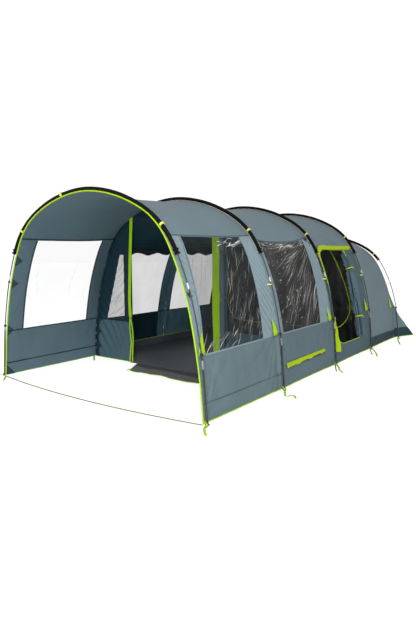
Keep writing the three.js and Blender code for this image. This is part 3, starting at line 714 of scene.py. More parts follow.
# painted shade: a darker lime for the ground strap, which is seen edge on
LIME_STRAP_PAINTED_SHADE = webbing("ground_strap_tape_painted_shade", "7f8f22", gain=0.7)
BEIGE = webbing("beige_tape", "b3a493", gain=0.85)
GREY_TAPE = webbing("grey_tape", "7d8184", gain=0.8)
RED_TAPE = webbing("red_tape", "b5202a", gain=0.85)
BLACK_PLASTIC = moulded("black_plastic", "0c0d0e")
FIBREGLASS = pole_rod("fibreglass_rod")
STEEL = steel_tube("black_steel_tube")
FERRULE = metal("zinc_ferrule", "8b8f93", roughness=0.45)
JOINT = moulded("pale_joint_sleeve", "a9acae")
WIRE = metal("steel_wire", "a8abae", roughness=0.25, brushed=(1, 1, 1))
ZIP_METAL = metal("zip_metal", "8d9093", roughness=0.35, brushed=(1, 1, 1))
FILM_A = film("clear_film_a", "161a1a", haze=0.36, streak=0.24, lean=1.12, mottle=0.03)
# painted shade: film b near black and nearly opaque, for the dark room behind it
FILM_B_PAINTED_SHADE = film("clear_film_b_painted_shade", "0b0c0b", haze=0.80, streak=0.22, lean=0.72, mottle=0.10)
FILM_PORCH = film("clear_film_porch", "8c9092", haze=0.13)
FILM_FAR = film("clear_film_far", "5c6062", haze=0.42)
FILM_FRONT = film("clear_film_front", "4a4f50", haze=0.25, streak=0.15, lean=2.2)
NET = netting("insect_net")
FOIL = ground_foil("groundsheet_foil")
CLOTH, THIN_CLOTH = 0.0012, 0.0008  # thickness of the flysheet's cloth and of the bedroom's and curtains'


# ---- Camera, light and floor ----


LENS, SENSOR = 28.83, 36.0  # millimetres
CAMERA_PLACE = (3.945, FRONT - 3.308, 1.448)
CAMERA_TURN, CAMERA_PITCH = math.radians(36.22), math.radians(6.67)  # to the left of +Y, and down
BACKDROP = (-0.59, 0.81, 0)  # the way from the camera to the backdrop
BACKDROP_LIGHT, ROOM_LIGHT = 1.05, 0.62
# Each light: name, place, target, diameter, watts
LIGHTS = [
    ("key", (7.0, FRONT - 6.5, 8.5), (0, 0, 0.8), 4.0, 950),
    ("porch_fill", (3.4, FRONT - 3.6, 1.7), (-1.1, FRONT + 1.3, 0.8), 1.2, 130),
    ("living_room_fill", (0.1, FRONT + 2.1, 1.75), (-1.2, FRONT + 2.2, 0.3), 1.2, 5),
]
FLOOR_REACH = 60.0
FLOOR_Z = -0.003


def camera():
    data = bpy.data.cameras.new("camera")
    data.lens = LENS
    data.sensor_width = SENSOR
    piece = bpy.data.objects.new("camera", data)
    ahead = math.cos(CAMERA_PITCH)
    aim = Vector((-math.sin(CAMERA_TURN) * ahead, math.cos(CAMERA_TURN) * ahead, -math.sin(CAMERA_PITCH)))
    piece.location = CAMERA_PLACE
    piece.rotation_mode = "QUATERNION"
    piece.rotation_quaternion = aim.to_track_quat("-Z", "Y")
    bpy.context.scene.collection.objects.link(piece)
    bpy.context.scene.camera = piece


def soft_light(name, place, target, size, power):
    data = bpy.data.lights.new(name, "AREA")
    data.shape = "DISK"
    data.size = size
    data.energy = power
    lamp = bpy.data.objects.new(name, data)
    lamp.location = place
    lamp.rotation_mode = "QUATERNION"
    lamp.rotation_quaternion = (Vector(target) - Vector(place)).to_track_quat("-Z", "Y")
    bpy.context.scene.collection.objects.link(lamp)


def studio():
    bpy.context.scene.view_settings.view_transform = "Standard"
    world = bpy.data.worlds.new("studio")
    world.use_nodes = True
    nodes, links = world.node_tree.nodes, world.node_tree.links
    # a white backdrop behind the tent, and a dimmer room on the side that the camera stands on
    toward_backdrop = nodes.new("ShaderNodeVectorMath")
    toward_backdrop.operation = "DOT_PRODUCT"
    toward_backdrop.inputs[1].default_value = BACKDROP
    glow = nodes.new("ShaderNodeMapRange")
    for socket, value in zip(glow.inputs[1:5], (0.25, 0.65, ROOM_LIGHT, BACKDROP_LIGHT)):
        socket.default_value = value
    links.new(nodes.new("ShaderNodeTexCoord").outputs["Generated"], toward_backdrop.inputs[0])
    links.new(toward_backdrop.outputs["Value"], glow.inputs["Value"])
    links.new(glow.outputs["Result"], nodes["Background"].inputs["Strength"])
    nodes["Background"].inputs["Color"].default_value = (1, 1, 1, 1)
    bpy.context.scene.world = world
    for light in LIGHTS:
        soft_light(*light)
    look = Look("pale_floor", 0.9, Emission_Color=(1, 1, 1, 1), Emission_Strength=0.8)
    look.paint(look.ramp(look.noise(2.0, 2), [(0.3, (0.30, 0.30, 0.30, 1)), (0.7, (0.32, 0.32, 0.32, 1))]))
    mesh = bpy.data.meshes.new("floor")
    corners = ((-1, -1), (1, -1), (1, 1), (-1, 1))
    mesh.from_pydata([(x * FLOOR_REACH, y * FLOOR_REACH, FLOOR_Z) for x, y in corners], [], [(0, 1, 2, 3)])
    mesh.materials.append(look.material)
    floor = bpy.data.objects.new("floor", mesh)
    bpy.context.scene.collection.objects.link(floor)


camera()
studio()


# ---- The strap on the ground between the first hoop's feet ----


def ground_strap():
    width, thick = 0.016, 0.003
    end_x, end_y, bow = 1.484, -0.028, 0.112
    across = np.linspace(1, -1, 97)
    path = np.stack([end_x * across, FRONT + end_y - bow * (1 - across**2), np.full(97, 0.002)], -1)
    part = sweep(path, flat(width, thick))
    strap = build("ground_strap", part, LIME_STRAP_PAINTED_SHADE, slot="lime_trim", replaces="front_ground_strap")
    long = float(np.linalg.norm(np.diff(path, axis=0), axis=1).sum())


ground_strap()


# ---- Flysheet ----

FLIP = {"near": np.array([1, 1, 1]), "far": np.array([-1, 1, 1])}
# How far the upper corners of a near window lie behind its lower ones: first edge, last edge
SLANTS = [(0.12, 0.10), (0.0, 0.17), (0.0, 0.0), (0.0, 0.0)]
WINDOW_ENDS = [NEAR_WINDOW_A[:2], NEAR_WINDOW_B[:2], SIDE_DOOR[:2], (4.6, 5.1)]


def wall_point(side, i, y, z, depth=0.0):
    """A point of the wall behind hoop i + 1. y is its offset and z its height, before the windows' slant."""
    y, z = np.broadcast_arrays(np.asarray(y, float), np.asarray(z, float))
    if side == "near":
        ends = [ARCHES[i], *WINDOW_ENDS[i], ARCHES[i + 1]]
        rise = np.clip((z - SILL_Z) / (EAVE_Z - SILL_Z), 0, 1)
        y = y + rise * np.interp(y, ends, [0, *SLANTS[i], 0])
        z = z + (eave(y) - EAVE_Z) * np.clip((z - 1.3) / (EAVE_Z - 1.3), 0, 1)
    return tunnel(s_at(z), y, depth) * FLIP[side]


def wall_out(side, y, z):
    return outward(s_at(np.asarray(z, float)), y) * FLIP[side]


def size_of(points):
    """The width and length of a grid of points, along its middle lines."""
    rows, columns = points.shape[:2]
    width = lengths(points, 1)[rows // 2, -1]
    length = lengths(points, 0)[-1, columns // 2]
    return float(width), float(length)


def area_of(part):
    a, b, c, d = (part.points[[face[k] for face in part.faces]] for k in range(4))
    cross = np.linalg.norm(np.cross(c - a, d - b), axis=1)
    return float(cross.sum() / 2)


def declare(flat_size, part):
    """The area of a sheet whose cut is its own outline less its openings, at most its flat size. Nothing is
    done with it.
    """
    area = min(area_of(part), flat_size[0] * flat_size[1])


def cloth(name, points, looks, cells=(None, None), flat_size=None, held="stretched", rests_on=(), **how):
    part = grid(points, *cells)
    piece = build(name, part, looks, **how)
    declare(flat_size or size_of(points), part)
    return piece


RIM = 0.03  # a wall is flat this close to an opening


def in_box(rows_z, columns, box):
    """The cells of a grid that lie inside an opening (y0, y1, z0, z1)."""
    y0, y1, z0, z1 = box
    z = (rows_z[:-1] + rows_z[1:]) / 2
    y = (columns[:-1] + columns[1:]) / 2
    return ((z > z0) & (z < z1))[:, None] & ((y > y0) & (y < y1))[None, :]


def arc_height(s):
    """How far up the near side's arc each s lies, in metres."""
    samples = np.linspace(0, 1, 2001)
    return np.interp(s, samples, run_along(hoop(samples)))


def panel_span(i):
    """The first and last offset of the panels behind hoop i + 1."""
    return (ARCHES[i] if i else PORCH_EDGE), ARCHES[i + 1]


def edge_pucker(y, v, low, high, seed):
    """Small gathers where a panel is sewn along its hoops."""
    near = np.exp(-np.minimum(y - low, high - y) / 0.05)
    return 0.0022 * near * np.sin(v * 2 * np.pi / 0.11 + ripples(y, v, seed, 3.0, (0.4, 0.9)))


def roof_panel(letter, i):
    low, high = panel_span(i)
    y = np.linspace(low, high, 61)[None, :]
    seam = s_at(eave(y))
    s = seam + (1 - s_at(EAVE_Z) - seam) * np.linspace(0, 1, 121)[:, None]
    v = arc_height(s)
    depth = edge_pucker(y, v, low, high, 11 + i)
    depth = depth + ripples(y, v, 21 + i, 0.006, (0.5, 0.9)) * fade(y, low, high, 0.3)
    for end in (low, high):
        depth = depth + pulls(y, v, (end, 1.75), 0.45, 11, 0.004, 25 + i) * fade(y, low, high, 0.05)
    points = tunnel(s, y, depth * fade(v, v.min(axis=0), v.max(), 0.05))
    cloth(f"flysheet_roof_{letter}", points, ROOF, slot="roof_fabric", replaces=f"roof_{letter}",
          thickness=CLOTH, inside=COATED_ROOF_PAINTED_SHADE if i else COATED, rests_on=[f"hoop_{i + 1}", f"hoop_{i + 2}"])


def wall_panel(side, i, openings, change, step, relief, looks, insides, tone):
    """A wall between two hoops, less its openings. Its cells are about step wide and change look at the
    heights in change, and tone(y, z) is the material number of each cell."""
    stops_y = sorted({*panel_span(i), *[edge for box in openings for edge in box[:2]]})
    stops_z = sorted({0.0, EAVE_Z, *change, *[edge for box in openings for edge in box[2:]]})
    rows_z, columns = between(stops_z, step), between(stops_y, step)
    y, z = columns[None, :], rows_z[:, None]
    v = arc_height(s_at(z))
    depth = relief(y, v, z) * fade(y, columns[0], columns[-1], 0.04)
    depth = depth + edge_pucker(y, v, columns[0], columns[-1], 31 + i)
    hole = np.zeros((len(rows_z) - 1, len(columns) - 1), bool)
    for box in openings:
        hole |= in_box(rows_z, columns, box)
        beside = np.minimum(np.abs(y - box[0]), np.abs(y - box[1]))
        above = np.minimum(np.abs(z - box[2]), np.abs(z - box[3]))
        in_reach = (y > box[0] - RIM) & (y < box[1] + RIM) & (z > box[2] - RIM) & (z < box[3] + RIM)
        close = np.where(in_reach, np.minimum(beside, above), 1.0)
        depth = depth * np.clip(close / RIM, 0, 1)
    depth = depth * np.clip(z / 0.05, 0, 1) * np.clip((EAVE_Z - z) / 0.05, 0, 1)
    numbers = tone((y[:, :-1] + y[:, 1:]) / 2, (z[:-1] + z[1:]) / 2)
    points = wall_point(side, i, y, z, depth)
    if side == "far":
        points, hole, numbers = points[::-1], hole[::-1], numbers[::-1]
    name = f"{side}_wall_{'abcd'[i]}"
    cloth(f"flysheet_{name}", points, looks, (hole, numbers), slot="wall_fabric", replaces=name,
          thickness=CLOTH, inside=insides, rests_on=[f"hoop_{i + 1}", f"hoop_{i + 2}"])


def wall_relief(i, strength, seed):
    low, high = ARCHES[i], ARCHES[i + 1]
    # where a hoop pulls at the wall: height up the arc, reach, folds, depth and seed
    head = arc_height(s_at(EAVE_Z))
    held = [(0.0, 0.5, 9, 0.006, 51), (0.68, 0.35, 9, 0.007, 61), (head, 0.35, 8, 0.005, 71)]

    def relief(y, v, z):
        depth = ripples(y, v, 41 + i + seed, 0.010, (0.35, 0.6, 0.9))
        for end in (low, high):
            for up, reach, folds, amount, first in held:
                depth = depth + pulls(y, v, (end, up), reach, folds, amount, first + i + seed)
        upright = np.abs(np.sin(y * 17 + 1.5 * np.sin(v * 2.1) + seed)) ** 1.5
        depth = depth + 0.004 * upright * np.exp(-(((z - 0.42) / 0.25) ** 2))
        if i == 3:
            # flat along the skirt's seam
            depth = depth * (1 - 0.9 * np.exp(-(((z - SKIRT_TOP) / 0.015) ** 2)))
        return depth * strength

    return relief


def near_relief(i):
    """The near wall's own folds: slanted ones beside its windows, and fans from the hoops below them."""
    plain = wall_relief(i, 1.0, 0)

    def relief(y, v, z):
        depth = plain(y, v, z)
        above = np.clip((z - SILL_Z) / 0.05, 0, 1)
        aslant = (0.75 * y + 0.66 * v) * 2 * np.pi / 0.062
        slanted = np.sin(aslant + 2.5 * np.sin(v * 4.3) + 1.5 * np.sin(y * 9))
        if i < 2:
            depth = depth + 0.0065 * slanted * above
        if i == 1:
            pull = fan(y, v, (1.40, 0.72), 22, 0.45, 0.009, 18) + fan(y, v, (2.80, 0.66), 20, 0.45, 0.009, 19)
            depth = depth + pull * np.clip((SILL_Z - z) / 0.05, 0, 1)
        if i == 0:
            pleat = 0.034 * np.exp(-(((y - 1.338) / 0.020) ** 2)) * np.clip((0.64 - z) / 0.1, 0, 1)
            pull = fan(y, v, (1.40, 0.68), 24, 0.6, 0.013, 17) + fan(y, v, (0.02, 0.05), 16, 0.5, 0.010, 20)
            depth = depth + pleat + pull * np.clip((SILL_Z - z) / 0.05, 0, 1)
            depth = depth * (1 - 0.8 * np.exp(-(((z - LOW_SEAM_Z) / 0.012) ** 2)))
        return depth

    return relief


NEAR_STEP, FAR_STEP = 0.013, 0.018


def shaded(y, z):
    """1 where the far wall's inside is dark: under the curtains and below the living room's first window."""
    return np.where((z > 1.48) | ((y < FAR_WINDOW_B[1]) & (z < FAR_LOW_Z)), 1, 0)


def skirted(y, z):
    return np.where(z < SKIRT_TOP, 1, 0) + 0 * np.int64(y)


def near_tone(change):
    return lambda y, z: np.where(z < change, 0, 1) + 0 * np.int64(y)


def walls():
    """Every wall but the one with the side door."""
    near_looks = [[WALL_A, BAND], [WALL_B, BAND], None, [SKIRT, ROOF]]
    near_openings = [[NEAR_WINDOW_A], [NEAR_WINDOW_B, VENT], None, []]
    far_openings = [[FAR_WINDOW_A], [FAR_WINDOW_B], [FAR_WINDOW_C], []]
    for i in range(4):
        coated = COATED_LIVING_PAINTED_SHADE if i else COATED
        if near_looks[i]:
            change = SKIRT_TOP if i == 3 else SILL_Z
            wall_panel("near", i, near_openings[i], [change], NEAR_STEP, near_relief(i), near_looks[i],
                       coated, near_tone(change))
        relief = wall_relief(i, 1.3 if i else 0.5, 140)
        if i == 3:
            wall_panel("far", i, [], [SKIRT_TOP], FAR_STEP, relief, [WALL_FAR, SKIRT], coated, skirted)
        else:
            linings = [coated, COATED_SHADE if i else COATED]
            wall_panel("far", i, far_openings[i], [], FAR_STEP, relief, [WALL_FAR, WALL_FAR], linings, shaded)


def door_outline(margin):
    """The side door's opening as [offset, height], from its low front corner round past the top."""
    y0, y1, z0, z1 = SIDE_DOOR
    y0, y1, z0, z1 = y0 - margin, y1 + margin, z0 - margin, z1 + margin
    # each corner: its place, its two radii and the angle it starts at
    corners = [(y0, z0, 0.30, 0.20, 180), (y1, z0, 0.10, 0.10, 270), (y1, z1, 0.04, 0.04, 0),
               (y0, z1, 0.31, 0.15, 90)]
    line = []
    for y, z, ry, rz, start in corners:
        cy = y + ry if y == y0 else y - ry
        cz = z + rz if z == z0 else z - rz
        for k in range(13):
            angle = math.radians(start + 90 * k / 12)
            line.append((cy + ry * math.cos(angle), cz + rz * math.sin(angle)))
    return np.array(line)


def loop_between(outline, count):
    """A closed outline of four equal groups, with count points from the middle of each corner to the next."""
    group = len(outline) // 4
    half = group // 2
    sides = []
    for k in range(4):
        start = k * group + half
        index = np.arange(start, start + group + 1) % len(outline)
        sides.append(evenly(outline[index], count)[:-1])
    return np.vstack(sides + [sides[0][:1]])


def door_wall():
    """The near wall with the side door: cloth from the door's rounded outline to the panel's edges."""
    low, high = ARCHES[2], ARCHES[3]
    count = 56
    inner = loop_between(door_outline(0.0), count)
    corners = [(low, 0.0), (high, 0.0), (high, EAVE_Z), (low, EAVE_Z)]
    outer = []
    for (ya, za), (yb, zb) in zip(corners, corners[1:] + corners[:1]):
        for k in range(count):
            outer.append((ya + (yb - ya) * k / count, za + (zb - za) * k / count))
    outer = np.array(outer + outer[:1])
    w = np.linspace(0, 1, 25)[None, :, None]
    flat_points = inner[:, None] * (1 - w) + outer[:, None] * w
    y, z = flat_points[..., 0], flat_points[..., 1]
    v = arc_height(s_at(z))
    relief = wall_relief(2, 1.3, 0)(y, v, z) * fade(w[..., 0], 0, 1, 0.25)
    points = tunnel(s_at(z), y, relief)
    mid_z = (z[:-1, :-1] + z[1:, 1:]) / 2
    cloth("flysheet_near_wall_c", points, [WALL_C, ROOF], (None, np.where(mid_z < DOOR_BAND_Z, 0, 1)),
          (float(high - low), float(arc_height(s_at(EAVE_Z)))), slot="wall_fabric", replaces="near_wall_c",
          thickness=CLOTH, inside=COATED_LIVING_PAINTED_SHADE, rests_on=["hoop_3", "hoop_4"])


def rear_panel():
    s = between([0.0, REAR_FOLD_S, 1 - REAR_FOLD_S, 1.0], 0.008)
    fine = np.linspace(0, 1, 400)
    heights = rear(s[:, None], fine[None, :], 0 * (s[:, None] + fine))[..., 2]
    # where each line reaches the dark skirt
    above = np.array([fine[row > SKIRT_TOP].max(initial=0.01) for row in heights])
    skirt_at, skirt_rows = 33, 9
    w = np.hstack([above[:, None] * np.linspace(0, 1, skirt_at)[:-1],
                   above[:, None] + (1 - above[:, None]) * np.linspace(0, 1, skirt_rows)])
    girth, slope = 5.6, 1.6  # the panel's rough size, in metres
    u, v = s[:, None] * girth, w * slope
    relief = ripples(u, v, 201, 0.010, (0.4, 0.8))
    relief = relief + pulls(u, v, (REAR_FOLD_S * girth, slope), 0.6, 9, 0.006, 202)
    relief = relief * fade(w, 0, 1, 0.15)
    points = rear(s[:, None], w, relief)
    z = (points[:-1, :-1, 2] + points[1:, 1:, 2]) / 2
    in_skirt = np.arange(w.shape[1] - 1) >= skirt_at - 1
    numbers = np.where(in_skirt[None, :] | (z < SKIRT_TOP - 0.02), 1, 0)
    longest = float(lengths(points, 1)[:, -1].max())
    cloth("flysheet_rear", points, [ROOF, SKIRT], (None, numbers), (longest, size_of(points)[1]),
          slot="roof_fabric", replaces="rear_slope", thickness=CLOTH, inside=COATED_LIVING_PAINTED_SHADE,
          rests_on=["hoop_5"])


for number, panel_letter in enumerate("abcd"):
    roof_panel(panel_letter, number)
walls()
door_wall()
rear_panel()


# ---- Windows ----


def set_crease_glint(piece, values):
    # the crease attribute carries each crease's painted highlight
    attribute = piece.data.attributes.new("crease", "FLOAT", "POINT")
    attribute.data.foreach_set("value", values.astype(np.float32).ravel())


def window(node, side, i, box, look, groups, seed, step):
    """A clear window: film with creases."""
    y = between(list(box[:2]), step)
    z = between(list(box[2:]), step)
    v = arc_height(s_at(z))[:, None] + 0 * y[None, :]
    u = y[None, :] + 0 * v
    depth, shine = creases(u, v, groups, seed)
    depth = depth + ripples(u, v, seed + 1, 0.006, (0.2, 0.4))
    rim = fade(u, u.min(), u.max(), 0.02) * fade(v, v.min(), v.max(), 0.02)
    points = wall_point(side, i, y[None, :], z[:, None], 0.001 + depth * rim)
    if side == "far":
        points, shine = points[::-1], shine[::-1]
    set_crease_glint(cloth(f"{node}_film", points, look, slot="clear_window", replaces=node), shine)


def toward(corner):
    """A direction for creases that fan out from a corner."""
    return lambda u, v: math.atan2(v - corner[1], u - corner[0])


def steady(degrees):
    """One direction for every crease."""
    return lambda u, v: math.radians(degrees)


def windows():
    sill, top = float(arc_height(s_at(SILL_Z))), float(arc_height(s_at(HEAD_Z)))
    near_a = [
        (95, (0.56, 1.12, sill + 0.15, top - 0.12), steady(62), 0.10, (0.06, 0.24), 0.0025, 0.62),
        (20, (0.12, 0.62, sill, sill + 0.14), toward((-0.10, sill - 0.30)), 0.12, (0.06, 0.18), 0.0030, 0.85),
        (38, (0.62, 1.10, sill, sill + 0.30), steady(62), 0.15, (0.05, 0.15), 0.0026, 0.66),
        (26, (0.66, 1.15, top - 0.12, top - 0.01), steady(12), 0.35, (0.05, 0.14), 0.0050, 0.85),
    ]
    near_b = [
        (150, (1.80, 2.66, sill + 0.30, top), toward((2.78, top + 0.10)), 0.05, (0.12, 0.42), 0.0025, 0.64),
        (110, (1.5, 2.2, sill + 0.1, top), steady(38), 0.6, (0.02, 0.07), 0.0032, 0.60),
        (60, (1.7, 2.6, sill, sill + 0.5), steady(58), 0.10, (0.08, 0.24), 0.0025, 0.60),
        (16, (2.15, 2.60, sill, sill + 0.6), steady(58), 0.06, (0.14, 0.28), 0.0034, 0.85),
        (40, (1.5, 2.5, top - 0.08, top - 0.01), steady(4), 0.30, (0.03, 0.12), 0.0050, 0.80),
    ]
    far = [(5, (0.3, 4.0, 0.6, 1.5), steady(80), 0.3, (0.1, 0.3), 0.006, 0.15)]
    near_step, far_step = 0.0046, 0.02
    window("near_window_a", "near", 0, NEAR_WINDOW_A, FILM_A, near_a, 301, near_step)
    window("near_window_b", "near", 1, NEAR_WINDOW_B, FILM_B_PAINTED_SHADE, near_b, 302, near_step)
    window("far_window_a", "far", 0, FAR_WINDOW_A, FILM_PORCH, far, 303, far_step)
    window("far_window_b", "far", 1, FAR_WINDOW_B, FILM_FAR, far, 304, far_step)
    window("far_window_c", "far", 2, FAR_WINDOW_C, FILM_FAR, far, 305, far_step)


windows()


# ---- Seams and piping ----


TAPE_THICKNESS = 0.0016
TAPE_STEP = 0.03
OUTSIDE = 0.0022  # how far a tape stands off the flysheet, outside and inside
INSIDE = -0.0058
PIPING = 0.0055  # radius of the piping along the ground
NEAR_SEAMS = [[LOW_SEAM_Z, EAVE_Z], [EAVE_Z], [], [SKIRT_TOP]]  # the heights of each panel's seams
FAR_SEAMS = [[0.152, FAR_SILL_Z, EAVE_Z - 0.004], [FAR_LOW_Z], [FAR_LOW_Z], [SKIRT_TOP]]


def tape(side, i, y, z, width, stand):
    """A flat tape along a wall, stand above its outer face, or inside it where stand is below 0."""
    path = wall_point(side, i, y, z, -stand)
    return sweep(path, flat(width, TAPE_THICKNESS), wall_out(side, y, z))


def level(y0, y1, z):
    """Points of a wall along a level line."""
    y = between([y0, y1], TAPE_STEP)
    return y, np.full(len(y), float(z))


def upright(y, z0, z1):
    """Points of a wall along an upright line."""
    z = between([z0, z1], TAPE_STEP)
    return np.full(len(z), float(y)), z


def seams():
    outer, inner = [], []
    for i in range(4):
        low, high = panel_span(i)
        for z in NEAR_SEAMS[i]:
            width = 0.007 if z == LOW_SEAM_Z else 0.010
            outer.append(tape("near", i, *level(low + 0.01, high - 0.01, z), width, OUTSIDE))
        for z in FAR_SEAMS[i]:
            outer.append(tape("far", i, *level(low + 0.01, high - 0.01, z), 0.010, OUTSIDE))
            inner.append(tape("far", i, *level(low + 0.01, high - 0.01, z), 0.011, INSIDE))
    build("flysheet_seams_outside", outer, SEAM_TAPE_PAINTED_SHADE, slot="wall_fabric")
    build("flysheet_seams_inside", inner, SEAM_INSIDE_PAINTED_SHADE, slot="wall_fabric")


def window_frames():
    """The folded fabric edge round each window, outside and in."""
    near, far, width = [], [], 0.014
    for i, (y0, y1, z0, z1) in enumerate([NEAR_WINDOW_A, NEAR_WINDOW_B]):
        near += [tape("near", i, *upright(y, z0, z1), width, OUTSIDE) for y in (y0, y1)]
        near.append(tape("near", i, *level(y0, y1, z0), width, OUTSIDE))
    for i, (y0, y1, z0, z1) in enumerate([FAR_WINDOW_A, FAR_WINDOW_B, FAR_WINDOW_C]):
        for stand in (OUTSIDE, INSIDE):
            far += [tape("far", i, *upright(y, z0, z1), width, stand) for y in (y0, y1)]
    build("near_window_bindings", near, BAND, slot="wall_fabric")
    build("far_window_bindings", far, PATCH, slot="wall_fabric")


def patches():
    """Dark triangles that strengthen the porch fabric where its straps are sewn on, and one at the eave."""
    parts = []
    for side in ("near", "far"):
        for z in (1.40, 1.13, 0.56, 0.0):
            rows = np.linspace(0, 1, 5)[:, None]
            if z:
                reach = 0.085 * (1 - np.abs(2 * np.linspace(0, 1, 9) - 1))[None, :]
            else:
                reach = 0.12 * np.linspace(1, 0, 9)
            height = z + 0.13 * np.linspace(-0.5, 0.5, 9)[None, :] + (0.067 if z == 0 else 0)
            y = PORCH_EDGE + 0.004 + rows * reach
            points = wall_point(side, 0, y, height + 0 * y, 0.0032)
            parts.append(grid(points))
    corner_y = np.linspace(2.60, 2.80, 8)[None, :]
    fall = np.linspace(0, 1, 6)[:, None] * np.linspace(0.005, 0.10, 8)[None, :]
    parts.append(grid(wall_point("near", 1, corner_y, EAVE_Z - 0.004 - fall, -0.003)))
    build("porch_patches", parts, PATCH, slot="wall_fabric", thickness=0.0006)


def hem(side):
    """The piping along the foot of one side's walls."""
    y = between([PORCH_EDGE, ARCHES[4]], 0.04)
    path = tunnel(0.0, y)
    path[:, 2] = PIPING + 0.001
    path[:, 0] += 0.002
    path[:, 2] += 0.0012 * np.sin(y * 23)
    return sweep(path * FLIP[side], ring(PIPING, 8))


def ground_hems():
    path = rear(np.linspace(0.002, 0.998, 160), 1.0)
    path[:, 2] = 0.0065
    parts = [hem("near"), hem("far"), sweep(path, ring(PIPING, 8))]
    build("ground_hem_piping", parts, LIME, slot="lime_trim")


def porch_piping():
    path = tunnel(np.linspace(0, 1, 240), PORCH_EDGE)
    path[:, 1] -= 0.002
    build("porch_edge_piping", sweep(path, ring(0.0070, 8), (0, 1, 0)), LIME, slot="lime_trim")


seams()
window_frames()
ground_hems()
porch_piping()
patches()


# ---- Hoops, sleeves and legs ----


POLE_RADIUS = 0.006
JOINT_RADIUS, JOINT_HALF = 0.0074, 0.025
JOINT_Z, LAST_JOINT_Z = 1.175, 0.98
SLEEVE_RADIUS, BINDING_RADIUS = 0.0165, 0.0032
TUBE_RADIUS = 0.009


def side_name(side):
    return "near" if side > 0 else "far"


def hoop_pole(arch):
    s = pole_span(arch, 0, 1, 150)
    rod = sweep(pole(arch, s), ring(POLE_RADIUS), (0, 1, 0))
    build(f"pole_{arch + 1}", rod, FIBREGLASS, slot="fibreglass", replaces=f"hoop_{arch + 1}")
    # the bright joints that show below the sleeve
    height = LAST_JOINT_Z if arch == 4 else JOINT_Z
    s = s_at((height + np.linspace(-JOINT_HALF, JOINT_HALF, 5)) / ARCH_HEIGHTS[arch])
    parts = [sweep(pole(arch, s) * [side, 1, 1], ring(JOINT_RADIUS), (0, 1, 0)) for side in (1, -1)]
    build(f"pole_joints_{arch + 1}", parts, JOINT, slot="steel_leg")


def sleeve(arch):
    """A sewn tube round the hoop with a flap down to the flysheet, drawn in a little along its length."""
    s = pole_span(arch, SLEEVE_SHARE, 1 - SLEEVE_SHARE, 150)
    path = pole(arch, s)
    angles = np.radians(np.arange(-60, 241, 20))
    tube = [(SLEEVE_RADIUS * math.cos(a), SLEEVE_RADIUS * math.sin(a)) for a in angles]
    section = np.array(tube + [(-0.003, -0.026), (0.003, -0.026)])
    up = outward(s, ARCHES[arch])
    run = np.arange(len(s))
    size = 1 + 0.05 * np.sin(run * 0.9 + arch) + 0.04 * np.sin(run * 2.3)
    build(f"pole_sleeve_{arch + 1}", sweep(path, section, up, size), SLEEVE, slot="sleeve_fabric",
          replaces=f"sleeve_{arch + 1}", sharp=70)
    # on the first hoop the binding is behind, since the porch's own piping is in front
    beige = tunnel(s, ARCHES[arch] + (0.014 if arch == 0 else -0.014), -0.003)
    binding = sweep(beige, ring(BINDING_RADIUS, 8), up)
    build(f"sleeve_binding_{arch + 1}", binding, BEIGE, slot="sleeve_fabric")


def leg(arch, side):
    """The steel leg under one end of a hoop: a tube with its foot below and a bright ferrule above."""
    name = side_name(side)
    height = ARCH_HEIGHTS[arch]
    foot = pole(arch, np.array(0.0))
    top = pole(arch, s_at(np.array(FERRULE_TOP / height)))
    axis = unit(top - foot)
    foot, axis = foot * [side, 1, 1], axis * [side, 1, 1]
    long = FERRULE_TOP / axis[2]
    tube_end = LEG_TOP / axis[2]
    profile = [(0.0105, 0.012), (0.0105, 0.03), (TUBE_RADIUS, 0.033), (TUBE_RADIUS, tube_end)]
    build(f"{name}_leg_tube_{arch + 1}", lathe(profile, foot, axis), STEEL, slot="steel_leg",
          replaces=f"{name}_leg_{arch + 1}")
    collar = [(0.0094, tube_end - 0.004), (0.0107, tube_end), (0.0107, long - 0.006),
              (0.0100, long - 0.002), (0.0065, long + 0.002)]
    build(f"{name}_leg_ferrule_{arch + 1}", lathe(collar, foot, axis), FERRULE, slot="steel_leg")
    pad = [(0.018, 0.0), (0.022, 0.0015), (0.022, 0.0045), (0.0205, 0.006), (0.0125, 0.008),
           (0.0115, 0.02), (0.0108, 0.024)]
    foot_pad = lathe(pad, foot * [1, 1, 0], (0, 0, 1))
    build(f"{name}_leg_foot_{arch + 1}", foot_pad, BLACK_PLASTIC, slot="steel_leg")


for number in range(5):
    hoop_pole(number)
    sleeve(number)
    leg(number, 1)
    leg(number, -1)


# ---- Hardware on each side of each hoop ----


def station(arch, side, z):
    """A hoop's centre point, the direction up it and the direction out of the tent, at a height."""
    s = s_at(z / ARCH_HEIGHTS[arch])
    at = pole(arch, np.array(float(s)))
    ahead = pole(arch, np.array(float(s) + 0.002))
    along = unit(ahead - at)
    out = outward(s, ARCHES[arch])
    flip = np.array([side, 1, 1])
    return at * flip, along * flip, out * flip


def loop_band(at, along, out, radius, width, thickness):
    """A short band round a pole."""
    path = circle(at, radius, out, np.array([0.0, 1.0, 0.0]), 20)
    # the band's section stands across the pole, so its width runs along it
    section = flat(thickness, width)
    return sweep(path, section, along, closed=True)


def link(a, b, up, width, thickness=0.0018):
    """A short strap from a to b."""
    t = np.linspace(0, 1, 7)[:, None]
    return sweep(np.asarray(a) * (1 - t) + np.asarray(b) * t, flat(width, thickness), up)


def on_fabric(arch, side, behind, z, stand=0.004):
    """Points stand above the flysheet's outer face, behind a hoop by a distance and at a height."""
    offset = ARCHES[arch] + np.asarray(behind, float)
    s = s_at(np.asarray(z, float) / np.interp(offset, ARCHES, ARCH_HEIGHTS))
    return tunnel(s, offset, -stand) * [side, 1, 1]


